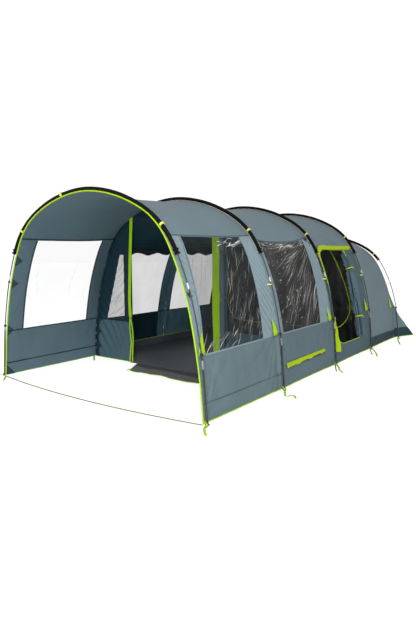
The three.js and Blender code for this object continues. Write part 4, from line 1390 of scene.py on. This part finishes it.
def pennant(arch, side, z, back=False):
    """A triangle of lime tape on the flysheet beside a hook at height z, in front of the hoop or behind."""
    corners = np.array([(-0.105, 0.19), (-0.112, -0.01), (-0.010, 0.00)]) * [-1 if back else 1, 1]
    down = np.linspace(0.06, 1, 7)[:, None, None]
    across = np.linspace(0, 1, 5)[None, :, None]
    spots = corners[0] + down * (corners[1] - corners[0] + across * (corners[2] - corners[1]))
    return grid(on_fabric(arch, side, spots[..., 0], z + spots[..., 1], 0.009 if side > 0 else 0.014))


# Heights of the fittings on a hoop, and on the last one, which is lower
HARDWARE = {"ring": 1.70, "clip": 1.12, "hook": 0.60}
LAST_HARDWARE = {"ring": 1.44, "clip": 0.94, "hook": 0.53}


def pale_tab(at, along, out):
    """The pale tape sewn round a sleeve."""
    return loop_band(at, along, out, radius=0.0195, width=0.020, thickness=0.0025)


def side_hardware(arch, side):
    """The tabs, clips, sleeve end and pennant on one side of a hoop."""
    name = f"{side_name(side)}_{arch + 1}"
    turn = 1 if arch == 0 else -1  # the first hoop has fabric only behind it
    heights = LAST_HARDWARE if arch == 4 else HARDWARE
    at, along, out = station(arch, side, heights["ring"])
    pale = [pale_tab(at, along, out)]
    end_s = pole_span(arch, SLEEVE_SHARE, 0.5, 2)[0]
    end_z = float(pole(arch, np.array(end_s))[2])
    at, along, out = station(arch, side, end_z + 0.012)
    cuff = loop_band(at, along, out, radius=0.0175, width=0.04, thickness=0.002)
    build(f"sleeve_cuff_{name}", cuff, RED_TAPE if arch == 4 else SLEEVE, slot="sleeve_fabric")
    at, along, out = station(arch, side, heights["clip"])
    clip = [loop_band(at, along, out, radius=0.0085, width=0.016, thickness=0.0035)]
    sewn = on_fabric(arch, side, turn * 0.050, heights["clip"] + 0.01)
    pale.append(link(at + out * 0.008 + [0, turn * 0.006, 0], sewn, out, width=0.013))
    at, along, out = station(arch, side, heights["hook"])
    clip.append(loop_band(at, along, out, radius=0.0125, width=0.02, thickness=0.004))
    sewn = on_fabric(arch, side, turn * 0.034, heights["hook"] + 0.01, 0.007)
    clip.append(link(at + out * 0.004 + [0, turn * 0.010, 0], sewn, out, width=0.014, thickness=0.006))
    build(f"pole_clips_{name}", clip, BLACK_PLASTIC, slot="sleeve_fabric")
    build(f"pale_tabs_{name}", pale, LIME_PALE, slot="lime_trim")
    triangle = pennant(arch, side, heights["hook"], arch == 0)
    build(f"pennant_{name}", triangle, LIME, slot="lime_trim", thickness=0.001)


def foot_of(arch, side):
    return pole(arch, np.array(0.0)) * [side, 1, 0]


def foot_ring(arch, side):
    """The wire ring that the foot pegs through, on a short strap from the hem."""
    name = f"{side_name(side)}_{arch + 1}"
    foot = foot_of(arch, side)
    out = unit(np.array([side * 0.5, -1.0, 0.0]))
    aside = np.array([-out[1], out[0], 0.0])
    loop = circle(foot + out * 0.055 + [0, 0, 0.004], 0.017, out, aside, 24)
    build(f"peg_ring_{name}", sweep(loop, ring(0.0022, 8), (0, 0, 1), closed=True), WIRE, slot="zip_metal")
    strap = smooth_line([foot + [-side * 0.022, -0.01, 0.03], foot + out * 0.024 + [0, 0, 0.012],
                         foot + out * 0.042 + [0, 0, 0.006]], 8)
    build(f"peg_strap_{name}", sweep(strap, flat(0.02, 0.0018)), LIME, slot="lime_trim")


def loose_tail(name, foot, side, spots, look, width, seed):
    """The spare end of a foot's strap, lying on the ground. spots are [out, behind] from the foot."""
    random = np.random.default_rng(seed)
    reach = BOX_SIDE - abs(foot[0])
    line = []
    for k, (out, behind) in enumerate(spots):
        lift = 0.0022 + (0.004 * random.uniform(0.3, 1) if 0 < k < len(spots) - 1 else 0)
        line.append(foot + [side * min(out, reach), behind, lift])
    path = smooth_line(line, 36)
    part = sweep(path, flat(width, 0.0018))
    piece = build(name, part, look, slot="lime_trim")
    long = float(np.linalg.norm(np.diff(path, axis=0), axis=1).sum())


BOX_SIDE = 1.775  # the tails stay inside the frame's own width
LIME_TAIL, GREY_TAIL = 0.022, 0.014  # widths
# Each tail: hoop, side, where it lies as [out, behind] from the foot, and whether it is grey or lime
TAILS = [
    (0, 1, [(0.010, -0.018), (0.03, -0.080), (0.078, -0.145), (0.142, -0.211)], False),
    (1, 1, [(0.015, -0.018), (0.06, -0.110), (0.140, -0.235), (0.185, -0.160), (0.255, -0.245)], False),
    (2, 1, [(-0.005, -0.022), (0.03, -0.110), (0.085, -0.230), (0.137, -0.339)], True),
    (2, 1, [(0.018, -0.014), (0.080, -0.120), (0.136, -0.240), (0.231, -0.367)], False),
    (3, 1, [(-0.010, -0.020), (0.02, -0.130), (0.095, -0.310), (0.165, -0.464)], True),
    (3, 1, [(0.018, -0.014), (0.090, -0.160), (0.171, -0.325), (0.255, -0.533)], False),
    (4, 1, [(0.005, -0.022), (0.05, -0.220), (0.130, -0.440), (0.200, -0.636)], False),
    (0, -1, [(-0.012, -0.018), (-0.06, -0.040), (-0.12, -0.060), (-0.25, -0.170)], False),
    (1, -1, [(-0.012, -0.018), (-0.07, -0.070), (-0.13, -0.120), (-0.26, -0.230)], False),
]


def hoop_hardware():
    for arch in range(5):
        for side in (1, -1):
            side_hardware(arch, side)
            foot_ring(arch, side)
    at, along, out = station(0, -1, 2.07 * ARCH_HEIGHTS[0])
    build("pale_tab_ridge", pale_tab(at, along, out), LIME_PALE, slot="lime_trim")
    for k, (arch, side, spots, grey) in enumerate(TAILS):
        look, width = (GREY_TAPE, GREY_TAIL) if grey else (LIME, LIME_TAIL)
        loose_tail(f"foot_tail_{k + 1}", foot_of(arch, side), side, spots, look, width, 400 + k)


hoop_hardware()


# ---- Front wall, between the porch and the living room ----
WALL_INSET = 0.006


def wall_outline(z):
    """The near half width of the front wall at height z."""
    s = np.linspace(0, 0.5, 1500)
    near = tunnel(s, ARCHES[1], WALL_INSET)
    return np.interp(z, near[:, 2], near[:, 0])


HEADER_Z = 1.73  # where the wall's two halves end and its header starts
# By side: inner edge, outer edge at the sill, outer edge at the head, sill, head
FRONT_WINDOWS = {1: (0.765, 1.33, 1.00, 0.56, 1.52), -1: (0.89, 1.225, 0.96, 0.56, 1.43)}


def front_wall_half(side, door_x):
    """The wall beside the door as a grid: rows go up, columns run from the door to the flysheet."""
    window_in, foot_x, head_x, sill, head = FRONT_WINDOWS[side]
    z = between([0.0, sill, head, HEADER_Z], 0.02)
    lean = (z - sill) / (head - sill)
    outer = wall_outline(z)
    band = outer - 0.08
    edge = np.clip(foot_x + (head_x - foot_x) * lean, window_in + 0.05, band - 0.02)
    stops = [np.full(len(z), door_x), np.minimum(window_in, edge - 0.04), edge, band, outer]
    counts = [8, 14, 8, 4]
    columns = []
    for a, b, count in zip(stops, stops[1:], counts):
        t = np.linspace(0, 1, count + 1)[:-1]
        columns.append(a[:, None] * (1 - t) + b[:, None] * t)
    x = np.hstack(columns + [outer[:, None]])
    zz = z[:, None] + 0 * x
    hole = np.zeros((len(z) - 1, x.shape[1] - 1), bool)
    rows = (z[:-1] + z[1:]) / 2
    hole[(rows > sill) & (rows < head), counts[0] : counts[0] + counts[1]] = True
    aslant = (0.80 * x - 0.60 * zz) * np.pi / 0.10 + 1.2 * np.sin(zz * 4 + side) + 0.8 * np.sin(x * 7)
    folds = (1 - 2 * np.abs(np.sin(aslant))) * (0.6 + 0.4 * np.sin(x * 5 + zz * 3.1))
    relief = 0.020 * folds * np.clip((1.62 - zz) / 0.4, 0.25, 1) * np.clip(zz / 0.08, 0, 1)
    relief = relief + ripples(x, zz, 503 + side, 0.010, (0.3, 0.5))
    trim_end = 0.77 if side > 0 else 0.81  # the wall is flat up to here, behind the door's flaps and roll
    relief = relief * np.clip((x - trim_end) / 0.08, 0, 1)
    near_hole = np.minimum(np.abs(x - window_in), np.abs(x - edge[:, None]))
    beside_hole = (zz > sill - RIM) & (zz < head + RIM)
    relief = relief * np.where(beside_hole, np.clip(near_hole / 0.04, 0.15, 1), 1)
    relief = relief * fade(x, -9, outer[:, None], 0.03)
    points = np.stack([side * x, WALL_Y + relief, np.maximum(zz, 0.003)], -1)
    number = np.zeros(hole.shape, int)
    # the darker band along the flysheet is painted shade
    number[:, -counts[3]:] = 1  # the darker band along the flysheet
    # the far half is painted in shade from just below its sill up
    if side < 0:
        number[rows > sill - 0.02] = 1
    return points, hole, number


def front_header():
    """The cloth over the door, from its rounded top up to the roof."""
    left, right = DOOR_X
    angle = np.linspace(0, np.pi / 2, 9)
    bend = DOOR_CORNER * np.stack([1 - np.cos(angle), np.sin(angle)], -1)
    near_corner = ([right, HEADER_Z] + bend * [-1, 1])[::-1]
    lower = np.vstack([[left, HEADER_Z] + bend, [[(left + right) / 2, DOOR_TOP]], near_corner])
    lower = smooth_line(lower, 90)
    s_right = s_at(HEADER_Z)
    s = np.linspace(1 - s_right, s_right, 91)
    upper = tunnel(s, ARCHES[1], WALL_INSET)[:, [0, 2]]
    w = np.linspace(0, 1, 12)[None, :, None]
    flat_points = lower[:, None] * (1 - w) + upper[:, None] * w
    x, z = flat_points[..., 0], flat_points[..., 1]
    relief = ripples(x, z, 510, 0.006, (0.2, 0.4)) * fade(w[..., 0], 0, 1, 0.3)
    return np.stack([x, WALL_Y + relief, z], -1)


def front_wall():
    parts = []
    for side, door_x in ((1, DOOR_X[1]), (-1, -DOOR_X[0])):
        window_in, foot_x, head_x, sill, head = FRONT_WINDOWS[side]
        points, hole, number = front_wall_half(side, door_x)
        turn = slice(None, None, side)  # the far half's columns run the other way, so that its faces match
        parts.append(grid(points[:, turn], hole[:, turn], number[:, turn]))
        z = between([sill, head], 0.012)
        edge = foot_x + (head_x - foot_x) * (z - sill) / (head - sill)
        t = np.linspace(0, 1, 31)
        x = window_in * (1 - t) + edge[:, None] * t
        zz = z[:, None] + 0 * x
        area, fan_out = (window_in, foot_x, sill, head), toward((foot_x + 0.3, sill - 0.2))
        depth, shine = creases(x, zz, [(26, area, fan_out, 0.1, (0.05, 0.2), 0.005, 0.5)], 520 + side)
        film_points = np.stack([side * x, WALL_Y + 0.003 + depth, zz], -1)[:, turn]
        piece = cloth(f"front_window_film_{side_name(side)}", film_points, FILM_FRONT, slot="clear_window",
                      replaces=f"front_window_{side_name(side)}")
        set_crease_glint(piece, shine[:, turn])
    header = grid(front_header())
    # the header is painted in shade
    header.numbers = [1] * len(header.faces)
    part = joined([*parts, header])
    piece = build("front_wall_cloth", part, [DEEP, FRONT_PAINTED_SHADE], slot="wall_fabric", replaces="front_wall",
                  thickness=CLOTH)
    area_of(part)


TRIM_STAND = 0.012  # how far the door's flaps stand off the wall, to leave room for the zip sliders


def upright_tape(z, x, width):
    """A tape of a varying width up the face of the front wall."""
    path = np.stack([x, np.full(len(z), WALL_Y - TRIM_STAND), z], -1)
    return sweep(path, flat(1.0, 0.002), (0, -1, 0), np.stack([width, np.ones(len(z))], -1))


def door_trims():
    """Lime flaps down both sides of the front doorway, a tape over its head and piping along its foot."""
    z = between([0.02, 1.93], 0.03)
    right = np.interp(z, [0.0, 0.3, 0.92, 1.67, 1.93], [0.634, 0.634, 0.635, 0.602, 0.585])
    width = np.interp(z, [0.0, 0.9, 1.93], [0.112, 0.122, 0.082])
    parts = [upright_tape(z, right + 0.006 * np.sin(z * 5), width + 0.004 * np.sin(z * 9))]
    heights = [0.0, 0.07, 0.27, 0.55, 0.83, 1.36, 1.93]
    places = [-0.765, -0.765, -0.745, -0.768, -0.782, -0.760, -0.725]
    left = np.interp(z, heights, places)
    above = z > 0.6
    parts.append(upright_tape(z[above], left[above], np.full(above.sum(), 0.050)))
    below = z < 0.64
    for shift in (-0.020, 0.021):
        split = shift * np.clip((0.66 - z[below]) / 0.2, 0.4, 1) + 0.004 * np.sin(z[below] * 14 + shift * 99)
        parts.append(upright_tape(z[below], left[below] + split, np.full(below.sum(), 0.019)))
    build("front_door_flaps", parts, LIME_INSIDE_PAINTED_SHADE, slot="lime_trim")
    x = np.linspace(-0.72, 0.56, 30)
    head = np.stack([x, np.full(30, WALL_Y - TRIM_STAND), DOOR_TOP + 0.035 + 0.01 * np.cos(x * 2)], -1)
    head_tape = sweep(head, flat(0.018, 0.002), (0, -1, 0))
    build("front_door_head_tape", head_tape, SEAM_INSIDE_PAINTED_SHADE, slot="wall_fabric")
    hems = []
    for start, end in ((-1.45, -0.76), (0.62, 1.45)):
        line = np.array([(x, WALL_Y - 0.004, 0.006) for x in np.linspace(start, end, 20)])
        hems.append(sweep(line, ring(0.005, 8)))
    build("front_wall_hem_piping", hems, LIME, slot="lime_trim")


front_wall()
door_trims()


# ---- Rolled cloth ----


def spiral(radius, core, turns, steps, loose, seed):
    """The section of a rolled sheet: a loose spiral, as [across, up] offsets."""
    random = np.random.default_rng(seed)
    angle = np.linspace(0, turns * 2 * np.pi, steps)
    r = core + (radius - core) * angle / angle[-1]
    waver = sum(random.uniform(0.4, 1) * np.sin(angle * k + random.uniform(0, 6)) for k in (2, 3, 5))
    r = r * (1 + loose * waver)
    return np.stack([r * np.cos(angle), r * np.sin(angle)], -1)


def rolled(path, up, radius, turns, seed, pinch, flatten=1.0, slack=0.05, steps=26):
    """A sheet rolled round a path. pinch is the radius at each path point as a share of the whole, flatten
    the section's height over its width, slack how deep its folds are and steps the points in each turn."""
    section = spiral(radius, radius * 0.18, turns, int(steps * turns), 0.05, seed)
    across, rise = axes_along(path, up)
    run = np.linspace(0, 1, len(path))[:, None]
    angle = np.arctan2(section[:, 1], section[:, 0])[None, :]
    random = np.random.default_rng(seed + 1)
    folds = sum(
        random.uniform(0.3, 1) * np.sin(angle * k + run * random.uniform(-7, 7) + random.uniform(0, 6))
        for k in (3, 5, 8)
    )
    wrinkles = np.sin(angle * 6 + run * 75 + 3 * np.sin(run * 23))
    size = pinch[:, None] * (1 + slack * folds + 0.3 * slack * wrinkles)
    points = (path[:, None] + across[:, None] * (section[None, :, :1] * size[..., None])
              + rise[:, None] * (section[None, :, 1:] * size[..., None] * flatten))
    return grid(points)


def tie(at, along, out, radius, width, tail):
    """A tape tied round a roll, with a short end left over."""
    side = unit(np.cross(along, out))
    parts = [sweep(circle(at, radius, out, side, 28), flat(0.0022, width), along, closed=True)]
    # the loose end's points: out from the roll, aside and down its length
    spots = [(0.002, 0, 0), (0.012, 0.01, 0.4), (0.004, 0.016, 1)]
    line = [at + out * (radius + off) + side * aside - along * tail * share for off, aside, share in spots]
    end = smooth_line(line, 10)
    parts.append(sweep(end, flat(width * 0.8, 0.002), out))
    return parts


def side_roll_offset(z):
    return 3.845 + 0.05 * np.clip((z - 0.9) / 0.5, 0, 1)


def side_roll():
    """The side door, bundled up and tied along the door's rear edge."""
    z = between([0.262, 1.47], 0.012)
    path = tunnel(s_at(z), side_roll_offset(z) + 0.012 * np.sin(z * 5), -0.006)
    ties = (1.25, 0.555)
    pinch = 1 - sum(0.32 * np.exp(-(((z - t) / 0.045) ** 2)) for t in ties)
    pinch = (pinch + 0.07 * np.sin(z * 9)) * np.interp(z, [0.26, 0.5, 1.1, 1.47], [0.85, 1.0, 0.95, 0.6])
    part = rolled(path, (0, 1, 0), radius=0.056, turns=2.2, seed=601, pinch=pinch, flatten=1.45, slack=0.40)
    piece = build("side_door_rolled", part, ROLL_PAINTED_SHADE, slot="roof_fabric", replaces="side_door_roll",
                  thickness=CLOTH, inside=COATED)
    bands = []
    for t in ties:
        st = s_at(np.array([t, t + 0.01]))
        base = tunnel(st, side_roll_offset(t), -0.006)
        out = outward(st, side_roll_offset(t))[0]
        bands += tie(base[0], unit(base[1] - base[0]), out, radius=0.052, width=0.018, tail=0.035)
    tab_z = np.linspace(1.41, 1.50, 5)
    tab_y = side_roll_offset(tab_z) - 0.075
    bands.append(sweep(tunnel(s_at(tab_z), tab_y, -0.05), flat(0.022, 0.002), outward(s_at(tab_z), tab_y)))
    ties_piece = build("side_door_ties", bands, LIME, slot="lime_trim")
    long = 1.25  # the door's edge along the roll
    area_of(part) / long


def front_roll():
    """The front door, rolled up beside the doorway's near edge."""
    def centre(z):
        return np.stack([0.724 - 0.01 * (z - 1), np.full_like(z, WALL_Y - 0.034), z], -1)

    z = between([0.30, 1.68], 0.014)
    path = centre(z)
    ties = (1.45, 0.95, 0.48)
    up, forward = np.array([0, 0, 1.0]), np.array([0, -1.0, 0])
    pinch = 1 - sum(0.25 * np.exp(-(((z - t) / 0.05) ** 2)) for t in ties) + 0.05 * np.sin(z * 7)
    part = rolled(path, (0, 1, 0), radius=0.036, turns=11.0, seed=611, pinch=pinch, flatten=0.8, steps=18)
    piece = build("front_door_rolled", part, ROLL_PAINTED_SHADE, slot="wall_fabric", replaces="front_door_roll",
                  thickness=CLOTH, inside=COATED)
    bands = []
    for t in ties:
        bands += tie(centre(np.array(t)), up, forward, radius=0.034, width=0.016, tail=0.04)
    ties_piece = build("front_door_ties", bands, GREY_TAPE, slot="wall_fabric")
    long = 1.4  # the door's edge along the roll
    area_of(part) / long


def curtain(letter, box):
    """A curtain rolled up over a far window, with its loose lower edge hanging in scallops."""
    y = between([box[0] - 0.02, box[1] + 0.02], 0.012)
    width = float(y[-1] - y[0])
    s = np.full(len(y), 1 - float(s_at(CURTAIN_Z)))
    path = tunnel(s, y, 0.036)
    share = (y - y[0]) / (y[-1] - y[0])
    droop = 0.5 - 0.5 * np.cos(share * 2 * np.pi * 3)
    path[:, 2] -= 0.012 * droop
    pinch = 0.85 + 0.25 * droop
    part = rolled(path, (0, 0, 1), radius=0.030, turns=9.0, seed=622, pinch=pinch, steps=16)
    piece = build(f"curtain_{letter}_rolled", part, CURTAIN, slot="inner_fabric",
                  replaces=f"curtain_roll_{letter}", thickness=THIN_CLOTH)
    area_of(part) / width
    rows = np.linspace(0, 1, 9)[:, None]
    drop = 0.028 + 0.035 * droop
    hang = tunnel(s, y, 0.022 + 0.012 * np.sin(rows * 3) + 0.004 * np.sin(y * 40))
    hang[..., 2] = hang[..., 2] - 0.01 - rows * drop
    cloth(f"curtain_{letter}_valance", hang, CURTAIN, flat_size=(width, 0.062), held="hung",
          rests_on=[f"curtain_{letter}_rolled"], slot="inner_fabric", thickness=THIN_CLOTH)


side_roll()
front_roll()
curtain("b", FAR_WINDOW_B)
curtain("c", FAR_WINDOW_C)


# ---- Side door trims ----


def gutter():
    """A lime rain gutter: up the door's front edge, round its corner in an arc, then level over its head."""
    bend, drop = 0.31, 0.16
    y0, y1, z_low, z_head = 2.95, 4.17, 0.90, 1.522
    angle = np.linspace(0, np.pi / 2, 31)
    limb = np.linspace(z_low, z_head - drop, 22)[:-1]
    y = np.concatenate([y0 + 0 * limb, y0 + bend * (1 - np.cos(angle)), np.linspace(y0 + bend, y1, 40)[1:]])
    z = np.concatenate([limb, z_head - drop * (1 - np.sin(angle)), np.full(39, z_head)])
    out_y = np.concatenate([-np.ones(21), -np.cos(angle) / bend, np.zeros(39)])
    out_z = np.concatenate([np.zeros(21), np.sin(angle) / drop, np.ones(39)])
    size = np.hypot(out_y, out_z)
    width = np.interp(z, [z_low, z_head - drop, z_head - 0.06], [0.010, 0.056, 0.070])
    rows = np.linspace(0, 1, 9)[:, None]
    band_y = y + rows * width * out_y / size
    band_z = z + rows * width * out_z / size
    ridge = np.interp(z, [z_low, z_head - drop, z_head], [0.002, 0.014, 0.024])
    stand = 0.005 + ridge * np.sin(rows * np.pi) ** 0.7 + 0.002 * np.sin(band_y * 31)
    cloth("side_door_rain_gutter", tunnel(s_at(band_z), band_y, -stand), LIME_CLOTH, slot="lime_trim",
          replaces="side_door_gutter", thickness=0.003, rests_on=["flysheet_near_wall_c"])


def side_flap():
    """The lime storm flap at the foot of the door's front edge, wider towards the ground."""
    z = between([0.165, 0.57], 0.015)
    y = np.interp(z, [0.16, 0.57], [2.915, 2.940])
    width = np.interp(z, [0.16, 0.57], [0.092, 0.014])
    path = tunnel(s_at(z), y, -0.008 - np.interp(z, [0.16, 0.5], [0.026, 0.0]) - 0.005 * np.sin(z * 31))
    turned = unit(outward(s_at(z), y) + [0, -0.6, 0])  # its free edge curls out from the wall
    part = sweep(path, flat(1.0, 0.0025), turned, np.stack([width, np.ones(len(z))], -1))
    build("side_door_storm_flap", part, LIME_CLOTH, slot="lime_trim")


def side_piping():
    """Lime piping along the door's rounded front corner and its sill."""
    lower = door_outline(0.004)[3:26]
    line = smooth_line(np.vstack([[lower[0][0], 0.62], lower]), 90)
    s = s_at(line[:, 1])
    path = tunnel(s, line[:, 0], -0.003)
    piping = sweep(path, ring(0.0045, 8), outward(s, line[:, 0]))
    build("side_door_sill_piping", piping, LIME, slot="lime_trim")


gutter()
side_flap()
side_piping()


# ---- Vent ----


def vent():
    y = between(list(VENT[:2]), 0.02)
    z = between(list(VENT[2:]), 0.01)
    points = tunnel(s_at(z)[:, None], y[None, :], 0.003 + 0.003 * np.sin(y * 19)[None, :])
    cloth("vent_insect_net", points, NET, slot="vent_net", replaces="vent_mesh")
    low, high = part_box("vent_hood")
    columns = between([low.y, high.y], 0.02)
    share = (columns - low.y) / (high.y - low.y)
    rows = np.linspace(0, 1, 9)[:, None]
    head = 0.260 + 0.006 * share
    foot = 0.207 + 0.027 * share + 0.005 * np.sin(share * 19) + 0.003 * np.sin(share * 41)
    zz = head + rows * (foot - head)
    stand = 0.006 + 0.016 * rows + 0.004 * np.sin(share * 25) * rows
    points = tunnel(s_at(zz), columns - FRONT, -stand)
    cloth("vent_hood_cloth", points[::-1], LIME_CLOTH, flat_size=size_of(points), held="hung",
          rests_on=["flysheet_near_wall_b"], body="vent_flap", slot="lime_trim", replaces="vent_hood",
          thickness=0.002)


vent()


# ---- Ground pieces ----


# The sill flap as [x, offset]: its hinge side, just forward of the hinge, and its free side
SILL_CORNERS = [[(-0.64, 1.379), (0.56, 1.379)], [(-0.43, 1.02), (0.65, 1.00)]]
DOORWAY_X = (-0.80, 0.70)


def groundsheet():
    low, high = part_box("groundsheet")
    edge_z, half, lip = 0.11, 1.44, 1.462
    turn_up = np.linspace(half, lip, 8)[1:]
    x = np.concatenate([-turn_up[::-1], between([-half, half], 0.03), turn_up])
    y = between([low.y, high.y], 0.035)
    xx, yy = np.meshgrid(x, y, indexing="ij")
    in_doorway = (x > DOORWAY_X[0]) & (x < DOORWAY_X[1])
    yy[in_doorway, 0] = FRONT + SILL_CORNERS[0][0][1] - 0.006  # reaches just under the sill flap
    flat_front = np.clip((yy - low.y) / 0.15, 0, 1)
    over = np.clip((np.abs(xx) - half) / (lip - half), 0, 1)
    crease = ripples(xx, yy, 701, 0.0035, (0.25, 0.5, 1.1))
    crease = crease + 0.0025 * np.abs(np.sin(yy * 3.3 + 0.6 * np.sin(xx * 2)))
    zz = 0.0025 + np.clip(crease + 0.002, 0, 0.012) * (1 - over) * flat_front + edge_z * over
    points = np.stack([xx + 0.004 * np.sin(yy * 6) * over, yy, zz], -1)
    cloth("groundsheet_tub", points[::-1], FOIL, flat_size=size_of(points), held="laid",
          slot="groundsheet", replaces="groundsheet", thickness=0.0006)
    parts = []
    for side in (-1, 1):
        line = np.stack([np.full(len(y), side * (lip - 0.004)), y, 0.112 + 0.002 * np.sin(y * 6)], -1)
        parts.append(sweep(line, ring(0.004, 8)))
    build("groundsheet_edge_piping", parts, LIME, slot="lime_trim")


def sill():
    """The loose flap in front of the doorway: a four-sided cloth on the ground, dark along its hinge."""
    hinge, free = np.array(SILL_CORNERS)
    down = np.linspace(0, 1, 21)[:, None, None]
    across = np.linspace(0, 1, 61)[None, :, None]
    left = hinge[0] + (free[0] - hinge[0]) * down
    right = hinge[1] + (free[1] - hinge[1]) * down
    spots = left + (right - left) * across
    x, y, out = spots[..., 0], FRONT + spots[..., 1], down[..., 0]
    y = y + out * (0.010 * np.sin(x * 9 + 1) + 0.006 * np.sin(x * 23))
    relief = 0.004 * (1 + np.sin(x * 9 + 1)) * out + 0.006 * np.exp(-(((out - 0.45) / 0.07) ** 2))
    z = np.maximum(0.0065 + relief + ripples(x, y, 711, 0.003, (0.1, 0.3)), 0.0035)
    points = np.stack([x, y, z], -1)
    dark = np.where((out[:-1] + out[1:]) / 2 < 0.45, 1, 0) + np.zeros((1, points.shape[1] - 1), int)
    cloth("door_sill_cloth", points[::-1], [SILL, SILL_DARK], (None, dark[::-1]), size_of(points), "laid",
          ["groundsheet_tub"], body="sill_lip", slot="sill_fabric", replaces="door_sill_flap",
          thickness=0.001)
    edge = np.vstack([points[:, 0], points[-1, 1:]]) + [0, -0.002, 0.001]
    toggle = lathe([(0.003, -0.024), (0.008, -0.018), (0.009, 0), (0.008, 0.018), (0.003, 0.024)],
                   points[-1, 0] + [-0.012, -0.004, 0.007], (0.7, 0.7, 0.0))
    build("door_sill_piping", sweep(edge, ring(0.0042, 8)), LIME, body="sill_lip", slot="lime_trim")
    build("door_sill_toggle", toggle, LIME, body="sill_lip", slot="lime_trim")


groundsheet()
sill()


# ---- Bedroom ----
INNER_GAP = 0.062
INNER_FRONT = 4.284
INNER_REAR_TOP = 5.41
INNER_REAR_FOOT = 5.83
INNER_FOOT_Z = 0.010
INNER_ROOF_SHARE = 0.7  # of the body's rows, the rest being its sloping rear
PARTITION_Y = middle("bedroom_front").y - 0.0025


def bedroom():
    """The bedroom's body, one sheet over its roof, sides and sloping rear."""
    s = np.linspace(0, 1, 121)[:, None]
    v = np.linspace(0, 1, 61)[None, :]
    offset = INNER_FRONT + (INNER_REAR_TOP - INNER_FRONT) * np.minimum(1, v / INNER_ROOF_SHARE)
    arc = arc_height(s)
    relief = ripples(arc, v * 1.6, 801, 0.012, (0.2, 0.4, 0.7))
    points = tunnel(s, offset, INNER_GAP + np.abs(relief) * fade(arc, 0, arc.max(), 0.1))
    points[..., 2] = np.maximum(INNER_FOOT_Z, points[..., 2])
    slope = np.maximum(0, v - INNER_ROOF_SHARE) / (1 - INNER_ROOF_SHARE)
    points[..., 1] += (INNER_REAR_FOOT - INNER_REAR_TOP) * slope
    points[..., 2] = INNER_FOOT_Z + (points[..., 2] - INNER_FOOT_Z) * (1 - slope * 0.97)
    points[..., 0] *= 1 - 0.06 * slope
    flat_size = (size_of(points)[0], float(lengths(points, 0)[-1, 0]))
    cloth("bedroom_shell", points, INNER, flat_size=flat_size, held="hung", rests_on=["roof_d"],
          slot="inner_fabric", replaces="bedroom_body", thickness=THIN_CLOTH)


def bedroom_partition():
    """The bedroom's front: a sheet from its arched outline down to the ground, hanging in soft folds."""
    s = np.linspace(0, 1, 181)
    outline = tunnel(s, INNER_FRONT, INNER_GAP)[:, [0, 2]]
    outline[:, 1] = np.maximum(0.012, outline[:, 1])
    w = np.linspace(0, 1, 41)[None, :, None]
    base = np.stack([outline[:, 0] * 0.999, np.full(len(s), 0.012)], -1)
    flat_points = outline[:, None] * (1 - w) + base[:, None] * w
    x, z = flat_points[..., 0], flat_points[..., 1]
    relief = ripples(x, z, 811, 0.030, (0.15, 0.3, 0.6))
    relief = relief + 0.022 * np.sin(x * 21 + 2 * np.sin(z * 3)) * np.clip(1.6 - z, 0, 1)
    relief = relief + pulls(x, z, (1.16, 0.55), 0.5, 9, 0.012, 812)
    relief = relief + pulls(x, z, (0.75, 1.5), 0.5, 9, 0.010, 813)
    points = np.stack([x, PARTITION_Y + 0.001 + np.abs(relief) * 0.6, z], -1)
    cloth("bedroom_partition", points, INNER, flat_size=(2.9, 2.05), held="hung",
          rests_on=["bedroom_shell"], slot="inner_fabric", replaces="bedroom_front", thickness=THIN_CLOTH)
    parts = []
    line = smooth_line([(0.74, 1.60), (0.81, 1.47), (0.91, 1.29), (1.07, 0.92), (1.145, 0.62), (1.118, 0.46),
                        (1.04, 0.34), (0.93, 0.275), (0.6, 0.25), (0.12, 0.25)], 90)
    for side in (1, -1):
        path = np.stack([side * line[:, 0], np.full(len(line), PARTITION_Y - 0.006), line[:, 1]], -1)
        parts.append(sweep(path, flat(0.016, 0.003), (0, -1, 0)))
    build("bedroom_zip_tapes", parts, LIME, slot="lime_trim")


bedroom()
bedroom_partition()


# ---- Zips ----


def zip_track(path, up, name):
    build(name, sweep(path, flat(0.008, 0.0025), up), BLACK_PLASTIC, slot="zip_metal")


def zips():
    """The teeth that the front and side sliders run on, and the look of all five sliders."""
    z = np.linspace(0.03, 1.72, 40)
    for side in ("near", "far"):
        at = middle(f"front_zip_slider_{side}")
        path = np.stack([np.full(40, at.x), np.full(40, WALL_Y - 0.0035), z], -1)
        zip_track(path, (0, -1, 0), f"front_zip_track_{side}")
    s = s_at(np.linspace(0.25, 1.42, 40))
    y = np.full(40, middle("side_zip_slider").y - FRONT)
    zip_track(tunnel(s, y, -0.0005), outward(s, y), "side_zip_track")
    for node in ("front_zip_slider_near", "front_zip_slider_far", "side_zip_slider",
                 "bedroom_zip_slider_near", "bedroom_zip_slider_far"):
        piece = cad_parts[node]
        piece.data.materials.clear()
        piece.data.materials.append(ZIP_METAL)


zips()
